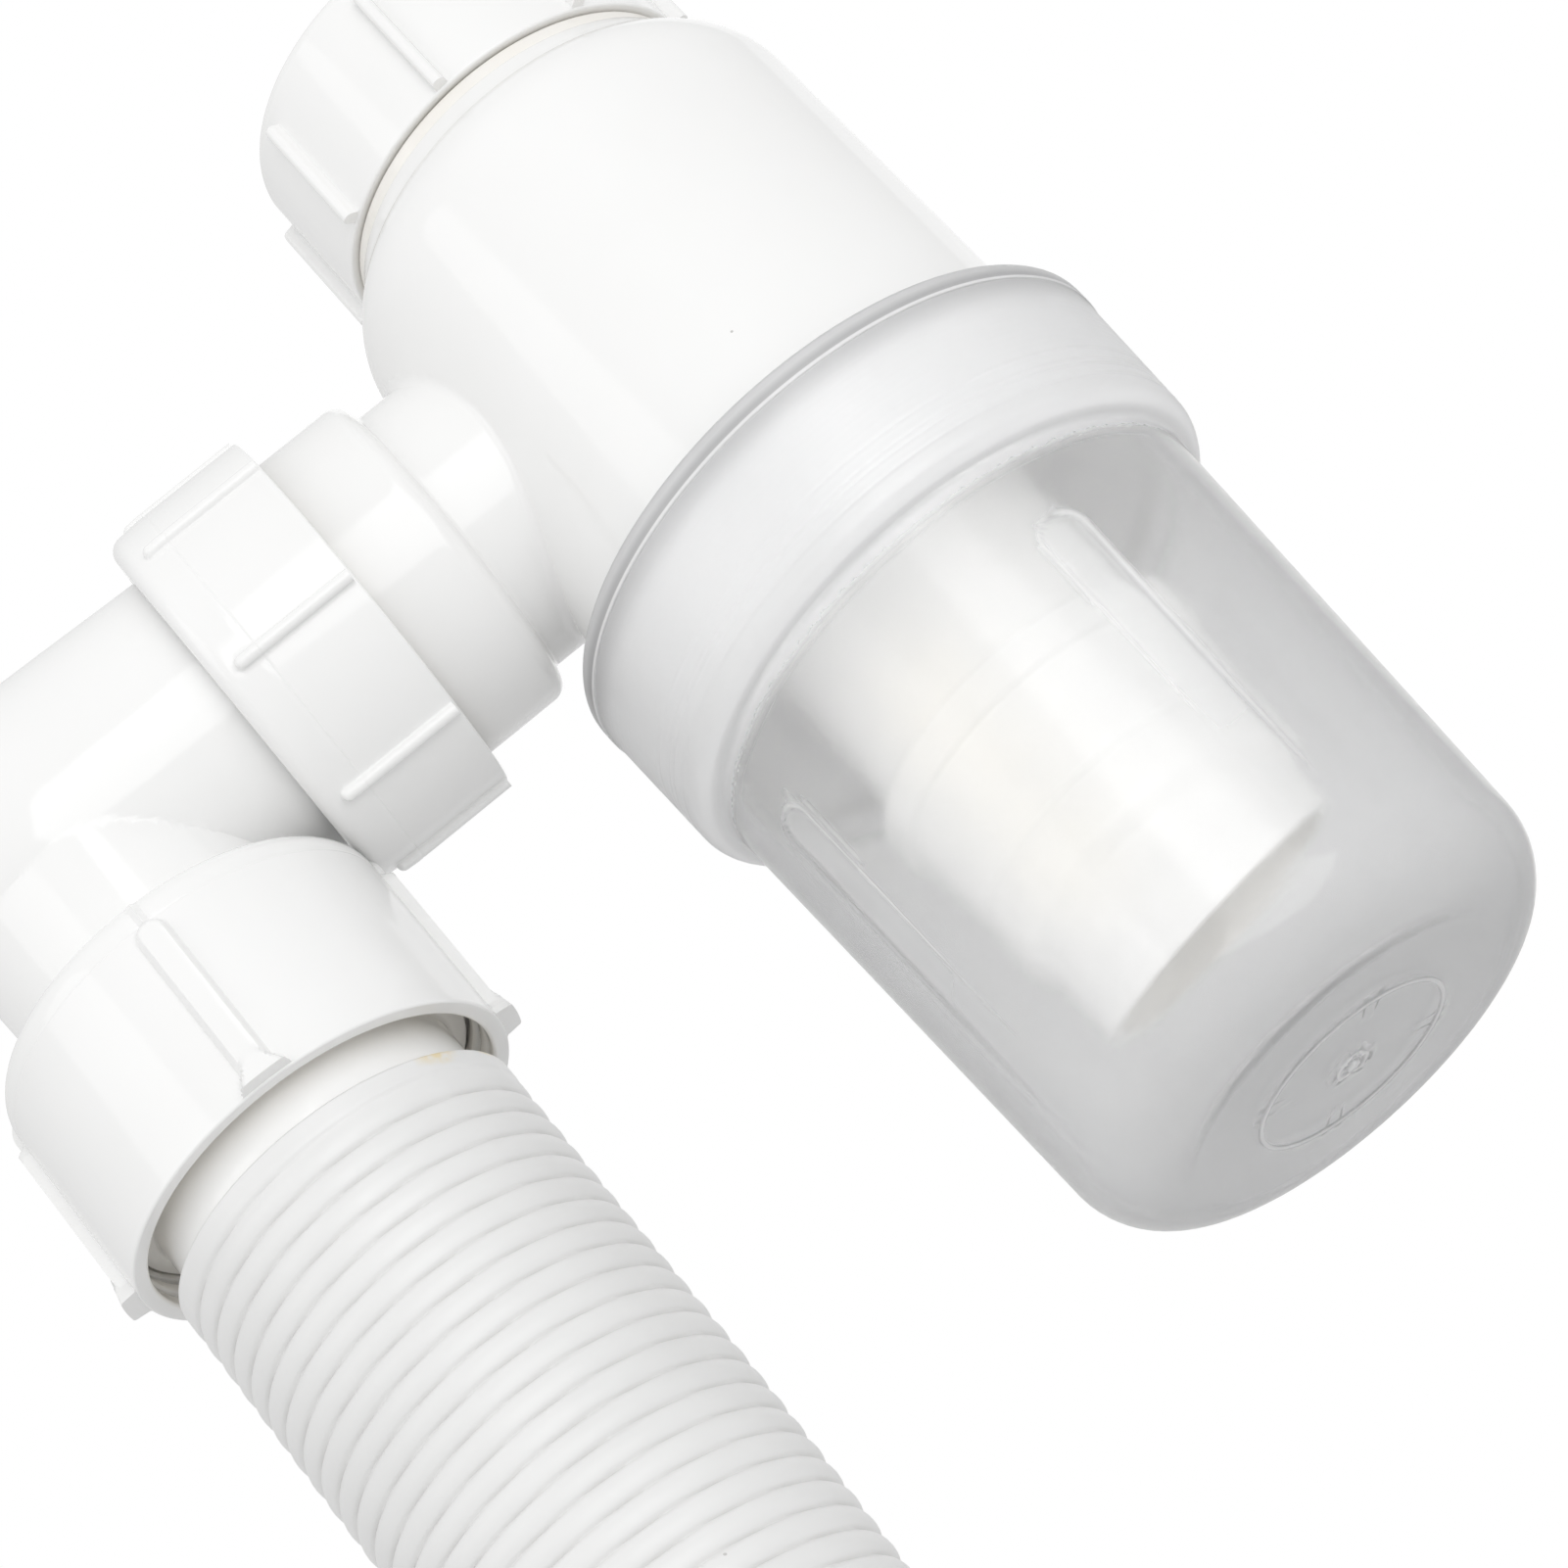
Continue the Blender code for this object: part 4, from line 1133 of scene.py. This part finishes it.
def cup_edge(x, y, z):
    """Where the plastic looks whiter: frosting in the flutes and the marks under the floor, and painted
    highlights at the flutes' edges, the step and the rim's lip.
    """
    r, a = np.hypot(x, y), np.arctan2(x, -y)
    shown = np.zeros_like(r)
    for angle in FLUTES:
        side = beside(a, angle, FLUTE_MIDDLE_R)
        d = off_flute(z, side)
        # Painted highlight along each flute's edge, brighter on one side.
        line = bell(d - FLUTE_HALF - 0.1, 0.35) * (0.25 + 0.5 * unit(side / 1.5))
        tongue = 0.3 * unit((FLUTE_HALF - d) / 0.6)
        shown = np.maximum.reduce([shown, tongue, line])
    shown *= (z < WALL_TOP_Z) & (r > 30.6)
    shown *= unit((z - FLUTE_LOW_Z) / FLUTE_FADE)
    ring = bell(r - FLOOR_RING_R, 0.35) * (z < FLOOR_Z - 0.1)
    gate = (r < 2.6) * (z < FLOOR_Z - 0.1)
    # Painted highlight over the step's shaded underside, and a painted highlight line under the rim's lip.
    past = STEP_Z - z - 2.5
    step = bell(past, np.where(past < 0, 1.1, 0.5)) * (r > 33.2)
    lip = bell(RIM_Z - z - 2.78, 0.12) * (r > 36.0)
    return np.maximum.reduce([shown, ring, 0.8 * gate, 0.75 * step, 0.35 * lip])


def cup_painted_shade(x, y, z):
    """Where the cup is made darker: painted shade at the rim's crown and band, where the gap casts its
    shadow, and under it; a darkening towards the floor; a fine painted shade line at the step's corner.
    """
    below = RIM_Z - z
    crown = 0.35 * unit((1.5 - below) / 0.3) + 0.2 * unit((0.8 - below) / 0.3)
    band = (0.35 + 0.4 * unit((below - 1.4) / 0.8)) * unit((2.65 - below) / 0.1)
    shade = 0.4 * unit((below - 2.9) / 0.3) * unit((6.4 - below) / 2.9) ** 1.3
    bottom = 0.12 * unit((FLOOR_Z + 7.0 - z) / 7.0) ** 2
    corner = bell(z - STEP_Z + 2.95, 0.25) * (np.hypot(x, y) > 32.8)
    return np.maximum.reduce([crown, band, shade, bottom, 0.05 * corner])


def make_cup():
    offsets = mirrored([0.0, 0.9, 1.6, 2.1, 2.4, 2.6, 2.75, 2.9, 3.05, 3.3, 3.8])
    flute = np.degrees(np.array(offsets) / FLUTE_MIDDLE_R)
    places = np.array(FLUTES)
    fine = (places[:, None] % 360 + flute).ravel() % 360
    plain = np.arange(0.0, 360.0, 2.0)
    apart = np.min(np.abs((plain[:, None] - places[None, :] + 180) % 360 - 180), axis=1)
    angles = np.radians(np.sort(np.concatenate([fine, plain[apart > flute.max() + 0.8]])))
    cup = skin("cup_shell", turn(cup_profile(), angles, cup_relief), on_body)
    cup.visible_shadow = False
    mark(cup, "edge", cup_edge)
    mark(cup, "rim", cup_painted_shade)
    mark(cup, "collar", lambda x, y, z: unit(z - STEP_Z + 5.0))
    wear(cup, frosted, "cup", "cup", sharp=75.0)


make_body()
make_inlet_nut()
make_outlet_nut()
make_hose_nut()
make_elbow()
make_adapter()
hose, hose_points = make_hose()
cuff = make_cuff()
make_dip_tube()
make_dip_tube_end()
make_cup()

# The CAD rings and seals that stay as they are
for name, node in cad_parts.items():
    if node.hide_render:
        continue
    node.data.materials.clear()
    node.data.materials.append(satin if name.endswith("slip_ring") else pale)
    node.data.shade_smooth()
    node.data.set_sharp_from_angle(angle=math.radians(30))


# Stage, light and camera

RIGHT = Vector((0.770797, 0.209725, -0.601570))
DOWN = Vector((-0.631381, 0.377500, -0.677386))
FORWARD = Vector((0.085028, 0.901947, 0.423393))
CAMERA_AT = Vector((-0.072032, -0.492248, -0.336288))
FOCAL_PIXELS = 4966.79
IMAGE_SIDE = 1601
TARGET = Vector((-0.03, 0.0, -0.10))
SENSOR = 36.0
ROOM_BELOW = 0.74
ROOM_ABOVE = 0.79
ROOM_THROUGH = 0.54
ROOM_SEEN = 1.0
STAGE_Z = -0.60
STAGE_R = 3.0
KEY_FROM = (0.243, -0.965, -0.025)


def make_camera():
    data = bpy.data.cameras.new("camera")
    data.sensor_width = SENSOR
    data.lens = FOCAL_PIXELS * SENSOR / IMAGE_SIDE
    data.clip_start = 0.01
    camera = bpy.data.objects.new("camera", data)
    bpy.context.scene.collection.objects.link(camera)
    axes = Matrix((RIGHT, -DOWN, -FORWARD)).transposed().to_4x4()
    camera.matrix_world = Matrix.Translation(CAMERA_AT) @ axes
    bpy.context.scene.camera = camera


def softbox(name, direction, distance, side, power):
    """A square light that faces the part. Directions point from the part to the light."""
    data = bpy.data.lights.new(name, "AREA")
    data.shape = "SQUARE"
    data.size = side
    data.energy = power
    light = bpy.data.objects.new(name, data)
    bpy.context.scene.collection.objects.link(light)
    back = Vector(direction).normalized()
    across = (RIGHT - back * RIGHT.dot(back)).normalized()
    axes = Matrix((across, back.cross(across), back)).transposed().to_4x4()
    light.matrix_world = Matrix.Translation(TARGET + back * distance) @ axes
    light.visible_camera = False
    light.visible_transmission = False
    return light


def light_only(light, *names):
    """Keeps a light to the named pieces."""
    group = bpy.data.collections.new(light.name + "_lit")
    for name in names:
        group.objects.link(bpy.data.objects[name])
    light.light_linking.receiver_collection = group


def make_lights():
    """Soft boxes for all pieces, so that the floor keeps an even tone, and glows for single pieces.

    The glows stand for the light that pale plastic lets through and scatters inside.
    """
    meshes = [piece.name for piece in bpy.context.scene.objects if piece.type == "MESH"]
    pieces = [name for name in meshes if name != "floor"]
    light_only(softbox("key", KEY_FROM, 1.1, 0.95, 4.4), *pieces)
    window = softbox("window", KEY_FROM, 1.1, 0.95, 3.0)
    window.visible_diffuse = False
    light_only(window, *pieces)
    light_only(softbox("fill", (-0.75, -0.6, 0.35), 1.3, 0.8, 1.6), *pieces)
    light_only(softbox("back", (0.35, 0.8, 0.55), 1.4, 1.0, 0.8), *pieces)
    tube_glow = softbox("tube_glow", (-0.05, -0.9, -0.43), 1.2, 0.9, 16.5)
    light_only(tube_glow, "dip_tube_shell", "dip_tube_end_shell")
    mouth_glow = softbox("mouth_glow", (-0.085, -0.902, -0.423), 1.2, 0.9, 3.0)
    light_only(mouth_glow, "hose_adapter_shell")
    lining_glow = softbox("lining_glow", (0.0, 0.0, -1.0), 0.0, 0.05, 1.5)
    lining_glow.location = (0.0, 0.0, -0.045)
    lining_glow.data.shape = "DISK"
    light_only(lining_glow, "trap_body_shell")


def make_world():
    """White behind the part, a mid grey seen through clear plastic, and a soft room for light and gloss."""
    world = bpy.data.worlds.new("room")
    bpy.context.scene.world = world
    world.use_nodes = True
    tree = world.node_tree
    tree.nodes.clear()
    place = tree.nodes.new("ShaderNodeTexCoord")
    split = tree.nodes.new("ShaderNodeSeparateXYZ")
    tree.links.new(place.outputs["Generated"], split.inputs["Vector"])
    ramp = tree.nodes.new("ShaderNodeMapRange")
    ramp.inputs["From Min"].default_value = -1.0
    ramp.inputs["From Max"].default_value = 1.0
    ramp.inputs["To Min"].default_value = ROOM_BELOW
    ramp.inputs["To Max"].default_value = ROOM_ABOVE
    tree.links.new(split.outputs["Z"], ramp.inputs["Value"])
    rays = tree.nodes.new("ShaderNodeLightPath")
    level = ramp.outputs["Result"]
    for kind, strength in (("Is Transmission Ray", ROOM_THROUGH), ("Is Camera Ray", ROOM_SEEN)):
        choose = tree.nodes.new("ShaderNodeMix")
        tree.links.new(rays.outputs[kind], choose.inputs["Factor"])
        tree.links.new(level, choose.inputs["A"])
        choose.inputs["B"].default_value = strength
        level = choose.outputs["Result"]
    room = tree.nodes.new("ShaderNodeBackground")
    room.inputs["Color"].default_value = (1.0, 1.0, 1.0, 1.0)
    tree.links.new(level, room.inputs["Strength"])
    out = tree.nodes.new("ShaderNodeOutputWorld")
    tree.links.new(room.outputs["Background"], out.inputs["Surface"])


def make_stage():
    mesh = bpy.data.meshes.new("floor")
    shape = bmesh.new()
    bmesh.ops.create_circle(shape, cap_ends=True, segments=96, radius=STAGE_R)
    shape.to_mesh(mesh)
    shape.free()
    floor = bpy.data.objects.new("floor", mesh)
    floor.location = (0.0, 0.0, STAGE_Z)
    mesh.materials.append(pale_floor())
    bpy.context.scene.collection.objects.link(floor)
    floor.visible_diffuse = False


make_camera()
make_world()
make_stage()
make_lights()
view = bpy.context.scene.view_settings
view.view_transform = "Standard"
view.look = "None"
